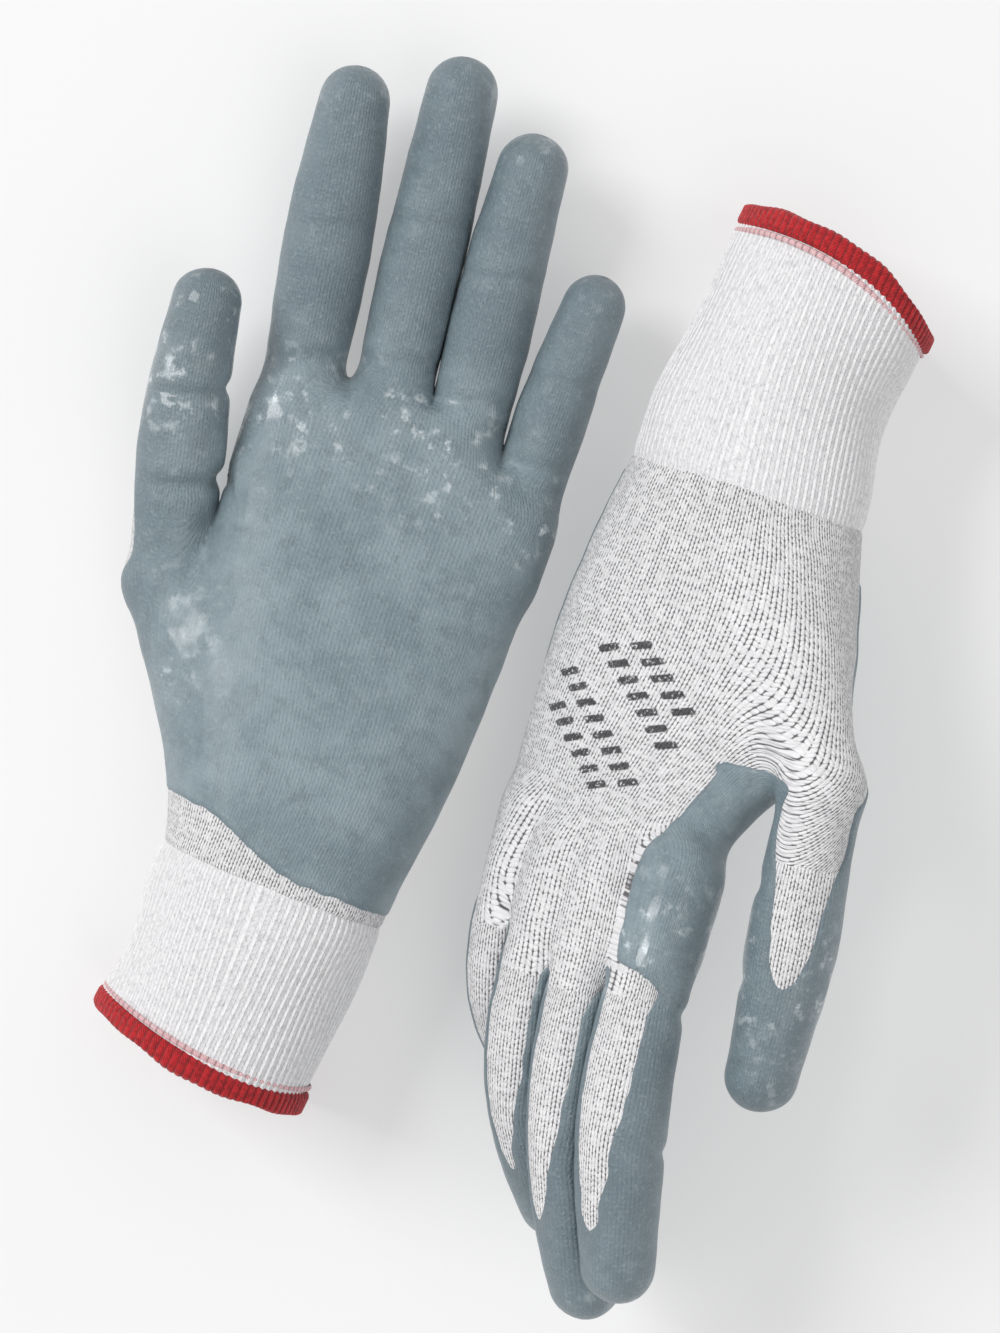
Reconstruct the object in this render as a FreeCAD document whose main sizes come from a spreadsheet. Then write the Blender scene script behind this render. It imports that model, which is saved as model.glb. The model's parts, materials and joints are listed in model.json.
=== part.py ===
import FreeCAD, Part
import math
import os

# A pair of knitted work gloves with a dipped rubber palm, lying side by side and head to tail.
# The left glove lies on its back with its palm up. The right glove lies palm down, rolled on to
# its little-finger edge, with its fingers relaxed. Millimetres, +Z up, +Y along the left fingers.
#
# Each glove is worked out in its own hand frame: the origin is the middle of the wrist, +Y runs
# to the fingertips, -X is the thumb's side, and the palm faces +Z on a left glove, -Z on a right.
# A digit has its own frame too: +Z along the digit, +X towards the palm, +Y along its hinge.

Vector = FreeCAD.Vector
Rotation = FreeCAD.Rotation
Placement = FreeCAD.Placement
UPRIGHT = Rotation(Vector(1, 0, 0), 90)     # stands an oval across the hand

DIGITS = ("thumb", "index", "middle", "ring", "little")
SIDES = ("left", "right")
PALM_SIGN = {"left": 1.0, "right": -1.0}

# Driving dimensions, in millimetres and degrees.
SHARED_SIZES = {
    "knit_wall": 1.6,           # knitted liner
    "rib_wall": 2.4,            # ribbed cuff, knitted double
    "coat": 0.7,                # dipped nitrile skin on the liner
    "play": 0.35,               # gap round each knuckle's ball
    "end_gap": 0.5,             # gap between the ends of two lengths of one digit
    "passage": 0.56,            # radius of the way through a ball, as a share of the root's
    "floor_depth": 1.6,         # wall between a ball and the bore of its digit
    "collar": 8.0,              # from a hinge to the start of the length that turns on it
    "root_overrun": 1.0,        # how far a root's hollow runs on past its knit
    "root_depth": 24.0,         # how far a digit's root reaches into the hand
    "max_bend": 60.0,           # most that one knuckle bends
    "slot_margin": 2.0,         # how far that slot reaches past the root's radius
    "slot_depth": 3.0,          # how far behind a hinge the slot for the ball's neck starts
    "dip_wrap": 236.0,          # how far round a digit the dipped skin reaches
    "tip_dip": 15.0,            # length of fingertip that is dipped all round
    "dip_level_wrist": -5.0,    # how far round towards the back the palm's dip reaches
    "dip_level_knuckle": -13.0,
    "dip_edge": -8.5,           # where the dip ends near the wrist
    "cuff_top": -10.0,          # where the rib cuff joins the hand
    "binding_reach": 4.5,       # length of cuff that the overlocked binding covers
    "binding_bulk": 0.9,        # how far the binding stands off the cuff
    "thread_bulk": 0.5,         # how far the needle thread stands off the cuff
    "thread_width": 1.2,        # needle thread that runs round beside the binding
    "elastic_width": 1.0,       # elastic yarn inside the cuff
    "elastic_cover": 0.7,       # knit over it, between it and the cuff's surface
    "elastic_rounds": 6,        # rounds of elastic yarn
    "elastic_start": -17.0,     # the round nearest the hand
    "elastic_pitch": 6.0,       # from one round to the next
}

# Sections: place along the hand, middle across, half width, half thickness, middle's height.
SECTIONS = {
    "wrist": (-10.0, 0.0, 28.0, 21.0, 0.0),
    "heel": (14.0, -1.0, 31.0, 20.0, -1.5),
    "mid": (45.0, -5.5, 36.0, 17.5, -3.5),
    "upper": (78.0, -8.0, 38.6, 15.0, -6.0),
    "knuckle": (101.0, -9.5, 38.2, 12.0, -9.0),
}
CUFF_SECTIONS = {
    "top": (-10.0, 0.0, 28.0, 21.0, 0.0),
    "narrow": (-30.0, 0.0, 27.0, 21.0, 0.0),
    "hem": (-59.0, 0.0, 28.4, 22.4, 0.4),
}
SECTION_CELLS = ("along", "across", "half_width", "half_depth", "height")

# Digits: root across and along the hand, root height, radius at the root and at the tip (knit
# only), length of the root outside the hand, then of each length that turns.
DIGIT_CELLS = ("across", "along", "height", "root_radius", "tip_radius", "root", "near", "far")
DIGIT_SIZES = {
    "thumb": (-56.6, 62.0, -6.0, 9.2, 8.6, 8.0, 22.5, 27.5),
    "index": (-38.6, 101.0, -10.5, 9.2, 8.4, 8.0, 33.0, 36.6),
    "middle": (-18.4, 108.0, -10.5, 9.2, 8.4, 8.0, 35.0, 38.8),
    "ring": (2.0, 106.0, -10.5, 8.9, 8.1, 8.0, 31.0, 33.6),
    "little": (21.2, 98.0, -10.5, 7.7, 7.1, 7.0, 22.0, 25.0),
}
THENAR_SIZES = {
    "thenar_across": -19.0,     # heel end of the thumb's muscle
    "thenar_along": 8.0,
    "thenar_height": -3.0,
    "thenar_radius": 13.5,
    "thenar_tip_across": -53.4,  # where it runs into the thumb's root
    "thenar_tip_along": 50.0,
    "thenar_tip_height": -5.5,
    "corner_swell": 0.4,         # the thumb's corner stands this far off its root
}

# How each glove lies: a digit's lean towards the thumb's side, its rise off the palm, the turn of
# its bending plane, and how far its two knuckles are bent at rest.
POSE_CELLS = ("lean", "rise", "turn", "near_bend", "far_bend")
POSES = {
    "left": {
        "thumb": (16.0, 6.0, 40.0, 4.0, 6.0),
        "index": (10.8, 0.0, 0.0, 5.0, 6.0),
        "middle": (8.6, 0.0, 0.0, 5.0, 7.0),
        "ring": (6.6, 0.0, 0.0, 6.0, 7.0),
        "little": (1.8, 0.0, 0.0, 6.0, 8.0),
    },
    "right": {
        "thumb": (13.0, 5.0, 40.0, 4.0, 6.0),
        "index": (3.0, 0.0, 0.0, 9.0, 13.0),
        "middle": (2.9, 0.0, 0.0, 13.0, 18.0),
        "ring": (2.8, 0.0, 0.0, 18.0, 23.0),
        "little": (2.7, 0.0, 0.0, 23.0, 28.0),
    },
}
LIE_CELLS = (
    "place_x", "place_y", "place_z", "heading", "roll", "twist", "stretch", "hem_tilt",
    "thumb_swing", "thumb_fold",
)
LIES = {
    "left": (-28.45, -54.6, 22.9, 0.0, 0.0, 0.0, 0.0, -7.0, 0.0, 0.0),
    "right": (45.15, 50.0, 30.0, 182.0, 46.0, -28.0, 12.0, -17.0, -5.0, 18.0),
}

RELIEF_BENDS = (0.5, 1.0)   # of the full bend: sloped cuts here clear every bend between
RELIEF_HALF_WIDTH = 1.08    # of a digit's radius: clears the digit, stops short of its neighbour
RELIEF_LENGTH = 2.4         # of a digit's radius
RELIEF_HEIGHT = 1.3
BODY_RELIEF = 4.0           # of a digit's radius: takes in the whole end of a digit's length
SPACE_HALF_WIDTH = 90.0     # a space wide, long and high enough to take in the whole hand
SPACE_LENGTH = 160.0
SPACE_HEIGHT = 70.0

doc = FreeCAD.newDocument("WorkGloves")
sheet = doc.addObject("Spreadsheet::Sheet", "Sizes")


def fill_sheet():
    """Write every driving dimension to the sheet, one row each, with its name as its alias."""
    rows = dict(SHARED_SIZES)
    rows.update(THENAR_SIZES)
    for group, table, cells in (
        ("hand", SECTIONS, SECTION_CELLS),
        ("cuff", CUFF_SECTIONS, SECTION_CELLS),
        ("digit", DIGIT_SIZES, DIGIT_CELLS),
        ("lie", LIES, LIE_CELLS),
    ):
        for name, values in table.items():
            for cell, value in zip(cells, values):
                rows[f"{group}_{name}_{cell}"] = value
    for side, poses in POSES.items():
        for digit, values in poses.items():
            for cell, value in zip(POSE_CELLS, values):
                rows[f"{side}_{digit}_{cell}"] = value
    for number, (alias, value) in enumerate(rows.items(), start=1):
        sheet.set(f"A{number}", alias)
        sheet.set(f"B{number}", str(value))
        sheet.setAlias(f"B{number}", alias)
    doc.recompute()


def size(alias):
    """The number in the sheet's cell with this alias."""
    return float(sheet.get(alias))


def bind(item, **formulas):
    """Bind sizes of an object to formulas of the sheet's cells, written as {alias}."""
    for prop, formula in formulas.items():
        item.setExpression(prop, formula.replace("{", "Sizes.").replace("}", ""))


# ---------------------------------------------------------------- frames

def glove_frame(side):
    """Where a glove lies: its hand frame in the pair's frame."""
    place = Vector(*(size(f"lie_{side}_{cell}") for cell in LIE_CELLS[:3]))
    turn = Rotation(Vector(0, 0, 1), size(f"lie_{side}_heading"))
    roll = Rotation(Vector(0, 1, 0), size(f"lie_{side}_roll"))
    return Placement(place, turn.multiply(roll))


def bent(angle):
    """A knuckle's bend: a turn about the hinge, towards the palm."""
    return Placement(Vector(), Rotation(Vector(0, 1, 0), angle))


def along(distance):
    """A move along a digit."""
    return Placement(Vector(0, 0, distance), Rotation())


def root_frame(side, digit):
    """A digit's frame at its root, in the hand frame, with the digit straight."""
    sign = PALM_SIGN[side]
    lean = math.radians(size(f"{side}_{digit}_lean"))
    rise = math.radians(size(f"{side}_{digit}_rise"))
    turn = math.radians(size(f"{side}_{digit}_turn"))
    out = Vector(-math.sin(lean) * math.cos(rise), math.cos(lean) * math.cos(rise),
                 sign * math.sin(rise))
    across = out.cross(Vector(0, 0, 1)).normalize()
    palmwards = across.cross(out).normalize() * sign
    bend = palmwards * math.cos(turn) + across * math.sin(turn)
    hinge = out.cross(bend)
    place = Vector(size(f"digit_{digit}_across"), size(f"digit_{digit}_along"),
                   sign * size(f"digit_{digit}_height"))
    frame = Placement(place, Rotation(bend, hinge, out, "ZXY"))
    return swung(side).multiply(frame) if digit == "thumb" else frame


def near_frame(side, digit):
    """The frame of a digit's near length, at its hinge, in the hand frame."""
    start = root_frame(side, digit).multiply(along(size(f"digit_{digit}_root")))
    return start.multiply(bent(size(f"{side}_{digit}_near_bend")))


def far_frame(side, digit):
    """The frame of a digit's far length, at its hinge, in the hand frame."""
    start = near_frame(side, digit).multiply(along(size(f"digit_{digit}_near")))
    return start.multiply(bent(size(f"{side}_{digit}_far_bend")))


def swung(side):
    """The swing of a thumb about the heel of its muscle: towards the fingers and the palm."""
    heel = Vector(size("thenar_across"), size("thenar_along"), 0)
    swing = Rotation(Vector(0, 0, 1), size(f"lie_{side}_thumb_swing"))
    fold = Rotation(Vector(0, 1, 0), PALM_SIGN[side] * size(f"lie_{side}_thumb_fold"))
    return Placement(Vector(), fold.multiply(swing), heel)


# ---------------------------------------------------------------- digits

def add_round(body, kind, name, height=0.0, **formulas):
    """Add a cone, cylinder or sphere about the digit's own line, starting at a height."""
    item = body.newObject(f"PartDesign::{kind}", f"{body.Name}_{name}")
    item.Placement = along(height)
    bind(item, **formulas)
    return item


def radius_at(digit, part, share):
    """Formula of the knit's radius some way (0 to 1) along one length of a digit."""
    start, end = {"near": (0.0, 0.5), "far": (0.5, 1.0)}[part]
    mix = start + (end - start) * share
    return f"({{digit_{digit}_root_radius}} * {1 - mix} + {{digit_{digit}_tip_radius}} * {mix})"


def sloped(share, reach, half_width):
    """Frame of a box that clears one bend: its corner, seen from the hinge."""
    corner = Vector(-reach, -half_width, size("collar") - size("end_gap"))
    return bent(share * size("max_bend")).multiply(Placement(corner, Rotation()))


def neck_slot(digit):
    """Sizes and frame of the box that a ball's neck swings through, seen from the hinge."""
    cell = f"{{digit_{digit}_root_radius}}"
    half_width = f"({cell} * {{passage}} + {{knit_wall}} / 2 + {{play}})"
    formulas = {
        "Length": f"{cell} + {{slot_margin}}",
        "Width": f"2 * {half_width}",
        "Height": "{slot_depth} + {collar}",
    }
    half = size(f"digit_{digit}_root_radius") * size("passage") + size("knit_wall") / 2
    corner = Vector(0, -half - size("play"), -size("slot_depth"))
    return formulas, Placement(corner, Rotation())


def relieve(body, digit, part_end):
    """Free the palm side of a length's end, so that the next length can bend up to it."""
    reach = BODY_RELIEF * size(f"digit_{digit}_root_radius")
    cell = f"{{digit_{digit}_root_radius}}"
    for number, share in enumerate(RELIEF_BENDS, start=1):
        box = body.newObject("PartDesign::SubtractiveBox", f"{body.Name}_relief_{number}")
        bind(box, Length=f"{2 * BODY_RELIEF} * {cell}", Width=f"{2 * BODY_RELIEF} * {cell}",
             Height=f"{BODY_RELIEF} * {cell}")
        box.Placement = along(part_end).multiply(sloped(share, reach, reach))
    formulas, frame = neck_slot(digit)
    slot = body.newObject("PartDesign::SubtractiveBox", f"{body.Name}_slot")
    bind(slot, **formulas)
    slot.Placement = along(part_end).multiply(frame)


def knuckle(body, digit, part):
    """The ball that a length turns on, its neck, and the way through both."""
    ball = radius_at(digit, part, 0.0) + " - {knit_wall} - {play}"
    passage = f"{{digit_{digit}_root_radius}} * {{passage}}"
    add_round(body, "AdditiveSphere", "ball", Radius=ball)
    add_round(body, "AdditiveCylinder", "neck", Radius=passage + " + {knit_wall} / 2",
              Height="{collar} + {floor_depth} / 2")
    add_round(body, "SubtractiveCylinder", "way", height=-size("collar"),
              Radius=passage, Height="2 * {collar} + {floor_depth}")


def near_liner(side, digit):
    """Knitted tube between a digit's two knuckles."""
    body = doc.addObject("PartDesign::Body", f"{side}_{digit}_liner")
    span = f"{{digit_{digit}_near}} - {{end_gap}}"
    add_round(body, "AdditiveCone", "tube", height=size("collar"), Height=span,
              Radius1=radius_at(digit, "near", 0.0), Radius2=radius_at(digit, "near", 1.0))
    add_round(body, "SubtractiveCone", "bore", height=size("collar") + size("floor_depth"),
              Height=span, Radius1=radius_at(digit, "near", 0.0) + " - {knit_wall}",
              Radius2=radius_at(digit, "near", 1.0) + " - {knit_wall}")
    knuckle(body, digit, "near")
    relieve(body, digit, size(f"digit_{digit}_near"))
    return body


def far_liner(side, digit):
    """Knitted fingertip: a tube closed by a round end."""
    body = doc.addObject("PartDesign::Body", f"{side}_{digit}_tip_liner")
    tip = size(f"digit_{digit}_tip_radius")
    centre = size(f"digit_{digit}_far") - tip - size("coat")
    span = f"{{digit_{digit}_far}} - {{digit_{digit}_tip_radius}} - {{coat}} - {{collar}}"
    bore_radius = f"{{digit_{digit}_tip_radius}} - {{knit_wall}}"
    add_round(body, "AdditiveCone", "tube", height=size("collar"), Height=span,
              Radius1=radius_at(digit, "far", 0.0), Radius2=radius_at(digit, "far", 1.0))
    add_round(body, "AdditiveSphere", "end", height=centre, Radius=f"{{digit_{digit}_tip_radius}}")
    add_round(body, "SubtractiveCone", "bore", height=size("collar") + size("floor_depth"),
              Height=span + " - {floor_depth}",
              Radius1=radius_at(digit, "far", 0.0) + " - {knit_wall}", Radius2=bore_radius)
    add_round(body, "SubtractiveSphere", "end_bore", height=centre, Radius=bore_radius)
    knuckle(body, digit, "far")
    return body


def wrapped(body, name, digit, part, span):
    """A dipped skin round the palm side of a length."""
    skin = add_round(body, "AdditiveCone", name, height=size("collar"), Height=span,
                     Radius1=radius_at(digit, part, 0.0) + " + {coat}",
                     Radius2=radius_at(digit, part, 1.0) + " + {coat}", Angle="{dip_wrap}")
    centred = Placement(Vector(), Rotation(Vector(0, 0, 1), -size("dip_wrap") / 2))
    skin.Placement = along(size("collar")).multiply(centred)


def near_coating(side, digit):
    """Dipped skin on a digit's near length, open along the back."""
    body = doc.addObject("PartDesign::Body", f"{side}_{digit}_coating")
    span = f"{{digit_{digit}_near}} - {{end_gap}}"
    wrapped(body, "skin", digit, "near", span)
    add_round(body, "SubtractiveCone", "inside", height=size("collar"), Height=span,
              Radius1=radius_at(digit, "near", 0.0), Radius2=radius_at(digit, "near", 1.0))
    relieve(body, digit, size(f"digit_{digit}_near"))
    return body


def far_coating(side, digit):
    """Dipped skin on a fingertip: open along the back, then closed right round the end."""
    body = doc.addObject("PartDesign::Body", f"{side}_{digit}_tip_coating")
    tip = size(f"digit_{digit}_tip_radius")
    centre = size(f"digit_{digit}_far") - tip - size("coat")
    span = f"{{digit_{digit}_far}} - {{digit_{digit}_tip_radius}} - {{coat}} - {{collar}}"
    wrapped(body, "skin", digit, "far", span)
    add_round(body, "AdditiveCylinder", "band", height=centre + tip - size("tip_dip"),
              Radius=f"{{digit_{digit}_tip_radius}} + {{coat}}",
              Height=f"{{tip_dip}} - {{digit_{digit}_tip_radius}}")
    add_round(body, "AdditiveSphere", "end", height=centre,
              Radius=f"{{digit_{digit}_tip_radius}} + {{coat}}")
    add_round(body, "SubtractiveCone", "inside", height=size("collar"), Height=span,
              Radius1=radius_at(digit, "far", 0.0), Radius2=radius_at(digit, "far", 1.0))
    add_round(body, "SubtractiveSphere", "end_inside", height=centre,
              Radius=f"{{digit_{digit}_tip_radius}}")
    return body


# ---------------------------------------------------------------- hand and cuff

def ring_line(name, side, group, section, inset="0", shift=0.0, tilt=0.0):
    """An oval across the hand or cuff at one section, set in from its surface."""
    cell = f"{group}_{section}"
    oval = doc.addObject("Part::Ellipse", name)
    bind(oval, MajorRadius=f"{{{cell}_half_width}} - {inset}",
         MinorRadius=f"{{{cell}_half_depth}} - {inset}")
    place = Vector(size(f"{cell}_across"), size(f"{cell}_along") + shift,
                   PALM_SIGN[side] * size(f"{cell}_height"))
    if cell == "cuff_hem":
        place.y -= size(f"lie_{side}_stretch")
    twist = Rotation(Vector(0, 1, 0), size(f"lie_{side}_twist") if group == "cuff" else 0.0)
    turn = twist.multiply(Rotation(Vector(0, 0, 1), tilt)).multiply(UPRIGHT)
    oval.Placement = Placement(twist.multVec(place), turn)
    return oval


def loft(name, ovals):
    """A closed solid through a row of ovals."""
    solid = doc.addObject("Part::Loft", name)
    solid.Sections = ovals
    solid.Solid = True
    return solid


def placed(kind, name, frame, **formulas):
    """A primitive solid with its sizes bound, at a frame."""
    solid = doc.addObject(f"Part::{kind}", name)
    bind(solid, **formulas)
    solid.Placement = frame
    return solid


def gathered(name, solids):
    """Separate solids held together as one piece."""
    group = doc.addObject("Part::Compound", name)
    group.Links = solids
    return group


def fused(name, solids):
    solid = doc.addObject("Part::MultiFuse", name)
    solid.Shapes = solids
    return solid


def cut(name, base, tool):
    solid = doc.addObject("Part::Cut", name)
    solid.Base = base
    solid.Tool = tool
    return solid


def common(name, base, tool):
    solid = doc.addObject("Part::Common", name)
    solid.Base = base
    solid.Tool = tool
    return solid


def towards(start, end):
    """A frame at start with +Z pointing to end."""
    return Placement(start, Rotation(Vector(0, 0, 1), end - start))


def thenar_points(side):
    """Both ends of the thumb's muscle in the hand frame."""
    sign = PALM_SIGN[side]
    heel = Vector(size("thenar_across"), size("thenar_along"), sign * size("thenar_height"))
    tip = Vector(size("thenar_tip_across"), size("thenar_tip_along"),
                 sign * size("thenar_tip_height"))
    return heel, swung(side).multVec(tip)


def hand_form(name, side, inset, end_shift, root_extra):
    """The hand from wrist to finger roots as one closed form, set in from the knit's surface."""
    ovals = []
    for section in SECTIONS:
        shift = end_shift if section == "knuckle" else 0.0
        ovals.append(ring_line(f"{name}_{section}", side, "hand", section, inset, shift))
    heel, tip = thenar_points(side)
    thumb_radius = f"{{digit_thumb_root_radius}} - {inset}"
    parts = [
        loft(f"{name}_palm", ovals),
        placed("Cone", f"{name}_thenar", towards(heel, tip), Height=f"{(tip - heel).Length}",
               Radius1=f"{{thenar_radius}} - {inset}", Radius2=thumb_radius),
        placed("Sphere", f"{name}_thumb_corner", Placement(tip, Rotation()),
               Radius=thumb_radius + " + {corner_swell}"),
    ]
    for digit in DIGITS:
        frame = root_frame(side, digit)
        inward = (frame.Base - tip).Length if digit == "thumb" else size("root_depth")
        span = inward + size("collar") - size("end_gap") + root_extra
        parts.append(placed("Cylinder", f"{name}_{digit}_root", frame.multiply(along(-inward)),
                            Radius=f"{{digit_{digit}_root_radius}} - {inset}",
                            Height=f"{{digit_{digit}_root}} + {span}"))
    return fused(name, parts)


def root_reliefs(name, side):
    """What each digit's first bend needs free on the palm side of its root."""
    boxes = []
    for digit in DIGITS:
        radius = size(f"digit_{digit}_root_radius")
        hinge = root_frame(side, digit).multiply(along(size(f"digit_{digit}_root")))
        cell = f"{{digit_{digit}_root_radius}}"
        for number, share in enumerate(RELIEF_BENDS, start=1):
            frame = hinge.multiply(sloped(share, radius, RELIEF_HALF_WIDTH * radius))
            boxes.append(placed("Box", f"{name}_{digit}_{number}", frame,
                                Length=f"{RELIEF_LENGTH} * {cell}",
                                Width=f"{2 * RELIEF_HALF_WIDTH} * {cell}",
                                Height=f"{RELIEF_HEIGHT} * {cell}"))
        formulas, frame = neck_slot(digit)
        boxes.append(placed("Box", f"{name}_{digit}_slot", hinge.multiply(frame), **formulas))
    return fused(name, boxes)


def dip_space(name, side):
    """The space that the dipped palm skin fills: the palm side, from the wrist upwards."""
    sign = PALM_SIGN[side]
    low = Vector(0, size("hand_wrist_along"), sign * size("dip_level_wrist"))
    high = Vector(0, size("hand_knuckle_along"), sign * size("dip_level_knuckle"))
    tilt = math.degrees(math.atan2((high - low).z, (high - low).y))
    place = Vector(-SPACE_HALF_WIDTH, size("dip_edge"),
                   low.z + (size("dip_edge") - low.y) * math.tan(math.radians(tilt)))
    frame = Placement(place, Rotation(Vector(1, 0, 0), tilt))
    if sign < 0:
        frame = frame.multiply(Placement(Vector(0, 0, -SPACE_HEIGHT), Rotation()))
    box = placed("Box", name, frame)
    box.Length = 2 * SPACE_HALF_WIDTH
    box.Width = SPACE_LENGTH
    box.Height = SPACE_HEIGHT
    return box


def palm_pieces(side):
    """The knitted palm and back, and the dipped skin on its palm side."""
    knit_form = hand_form(f"{side}_knit_form", side, "0", 0.0, 0.0)
    hollow = hand_form(f"{side}_hollow", side, "{knit_wall}", -size("knit_wall"),
                       size("root_overrun"))
    skin_form = hand_form(f"{side}_skin_form", side, "-{coat}", size("coat"), 0.0)
    reliefs = root_reliefs(f"{side}_reliefs", side)
    shell = cut(f"{side}_knit_shell", knit_form, hollow)
    liner = cut(f"{side}_palm_liner", shell, reliefs)

    skin = cut(f"{side}_skin", skin_form, knit_form)
    dipped = common(f"{side}_dipped", skin, dip_space(f"{side}_dip_space", side))
    coating = cut(f"{side}_palm_coating", dipped, reliefs)
    return liner, coating


def cuff_form(name, side, inset):
    """The cuff as a closed form, set in from its surface, with its hem a little askew."""
    ovals = []
    for section in CUFF_SECTIONS:
        tilt = size(f"lie_{side}_hem_tilt") if section == "hem" else 0.0
        ovals.append(ring_line(f"{name}_{section}", side, "cuff", section, inset, tilt=tilt))
    return loft(name, ovals)


def hem_form(name, side, inset, start, end):
    """A short oval form about the hem, between two places measured from the cuff's end."""
    ovals = [
        ring_line(f"{name}_{label}", side, "cuff", "hem", inset, shift,
                  size(f"lie_{side}_hem_tilt"))
        for label, shift in (("start", start), ("end", end))
    ]
    return loft(name, ovals)


def elastic_rounds(side):
    """The rounds of elastic yarn, each a narrow band inside the cuff's wall."""
    wall = cut(f"{side}_elastic_wall",
               cuff_form(f"{side}_elastic_outside", side, "{elastic_cover}"),
               cuff_form(f"{side}_elastic_inside", side, "({elastic_cover} + {elastic_width})"))
    reach = 2 * size("cuff_hem_half_width")
    slices = []
    for number in range(int(size("elastic_rounds"))):
        position = size("elastic_start") - number * size("elastic_pitch")
        corner = Placement(Vector(-reach, position, -reach), Rotation())
        slices.append(placed("Box", f"{side}_elastic_slice_{number + 1}", corner,
                             Length=f"{2 * reach}", Width="{elastic_width}",
                             Height=f"{2 * reach}"))
    return common(f"{side}_elastic_rounds", wall, gathered(f"{side}_elastic_slices", slices))


def cuff_pieces(side):
    """The rib cuff, its elastic yarn, the overlocked binding and the binding's needle thread."""
    shell = cut(f"{side}_cuff_shell", cuff_form(f"{side}_cuff_outside", side, "0"),
                cuff_form(f"{side}_cuff_inside", side, "{rib_wall}"))
    rounds = elastic_rounds(side)
    elastic = gathered(f"{side}_cuff_elastic", [rounds])
    rib = cut(f"{side}_cuff_rib", shell, rounds)

    bulk = size("binding_bulk")
    roll = cut(f"{side}_binding_roll",
               hem_form(f"{side}_binding_outside", side, "-{binding_bulk}",
                        size("binding_reach"), -bulk),
               hem_form(f"{side}_binding_inside", side, "({rib_wall} + {binding_bulk})",
                        size("binding_reach") + bulk, -2 * bulk))
    binding = cut(f"{side}_hem_binding", roll, shell)

    gap = size("end_gap")
    line = cut(f"{side}_thread_line",
               hem_form(f"{side}_thread_outside", side, "-{thread_bulk}",
                        size("binding_reach") + gap + size("thread_width"),
                        size("binding_reach") + gap),
               hem_form(f"{side}_thread_inside", side, "{thread_bulk}",
                        size("binding_reach") + 2 * gap + size("thread_width"),
                        size("binding_reach")))
    thread = cut(f"{side}_hem_thread", line, shell)
    return rib, elastic, binding, thread


# ---------------------------------------------------------------- the pair

def build():
    """Every piece of both gloves, labelled and laid in place."""
    pieces = []
    for side in SIDES:
        hand = glove_frame(side)
        liner, coating = palm_pieces(side)
        for piece in (liner, coating, *cuff_pieces(side)):
            pieces.append((piece, hand))
        for digit in DIGITS:
            near = hand.multiply(near_frame(side, digit))
            far = hand.multiply(far_frame(side, digit))
            pieces.append((near_liner(side, digit), near))
            pieces.append((near_coating(side, digit), near))
            pieces.append((far_liner(side, digit), far))
            pieces.append((far_coating(side, digit), far))
    for piece, frame in pieces:
        piece.Label = piece.Name
        piece.Placement = frame
    doc.recompute()
    return [piece for piece, frame in pieces]


def check(pieces):
    """Stop if anything in the document failed or any piece isn't a sound solid."""
    for item in doc.Objects:
        if "Invalid" in item.State or "Error" in item.State:
            raise RuntimeError(f"{item.Name} failed: {item.State}")
    for piece in pieces:
        shape = piece.Shape
        if shape.isNull() or not shape.isValid() or not shape.Solids:
            raise RuntimeError(f"{piece.Label} isn't a sound solid")


def export(pieces):
    """Write each piece to its own file."""
    os.makedirs("parts", exist_ok=True)
    for piece in pieces:
        piece.Shape.exportStep(f"parts/{piece.Label}.step")


fill_sheet()
all_pieces = build()
check(all_pieces)
export(all_pieces)
for piece in all_pieces:
    box = piece.Shape.BoundBox
    print(f"{piece.Label:28s} solids {len(piece.Shape.Solids)} volume {piece.Shape.Volume:9.1f}"
          f" z {box.ZMin:6.1f} to {box.ZMax:6.1f}")
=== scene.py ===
import json
import math

import bpy
import numpy as np
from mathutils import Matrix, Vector


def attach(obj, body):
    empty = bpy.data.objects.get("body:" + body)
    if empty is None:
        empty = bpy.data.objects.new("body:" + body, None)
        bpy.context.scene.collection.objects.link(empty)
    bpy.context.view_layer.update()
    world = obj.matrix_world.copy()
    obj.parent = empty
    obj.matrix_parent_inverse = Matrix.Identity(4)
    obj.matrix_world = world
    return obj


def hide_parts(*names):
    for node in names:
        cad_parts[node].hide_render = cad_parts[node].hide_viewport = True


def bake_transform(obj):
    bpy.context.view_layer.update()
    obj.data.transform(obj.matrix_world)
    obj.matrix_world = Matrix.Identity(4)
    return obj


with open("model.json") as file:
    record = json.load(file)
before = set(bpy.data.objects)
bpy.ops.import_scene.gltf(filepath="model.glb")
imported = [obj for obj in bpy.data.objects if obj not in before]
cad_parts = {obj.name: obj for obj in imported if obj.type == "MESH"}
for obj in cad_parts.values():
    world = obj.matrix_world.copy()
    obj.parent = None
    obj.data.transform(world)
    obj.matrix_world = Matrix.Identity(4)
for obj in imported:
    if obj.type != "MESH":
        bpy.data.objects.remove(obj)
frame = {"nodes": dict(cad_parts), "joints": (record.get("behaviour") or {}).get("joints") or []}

# A pair of knitted work gloves with a dipped rubber palm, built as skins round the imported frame.
# Each glove is worked out in its own hand space, in millimetres: x to the little finger, y to the
# fingertips from where the cuff joins, p out of the palm. Both gloves share it, one mirrored.

MM = 0.001
TURN = 2 * math.pi          # once round
SIDES = ("left", "right")
FINGERS = ("index", "middle", "ring", "little")
DIGITS = ("thumb",) + FINGERS
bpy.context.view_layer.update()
JOINTS = {joint["name"]: joint for joint in frame["joints"]}

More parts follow.
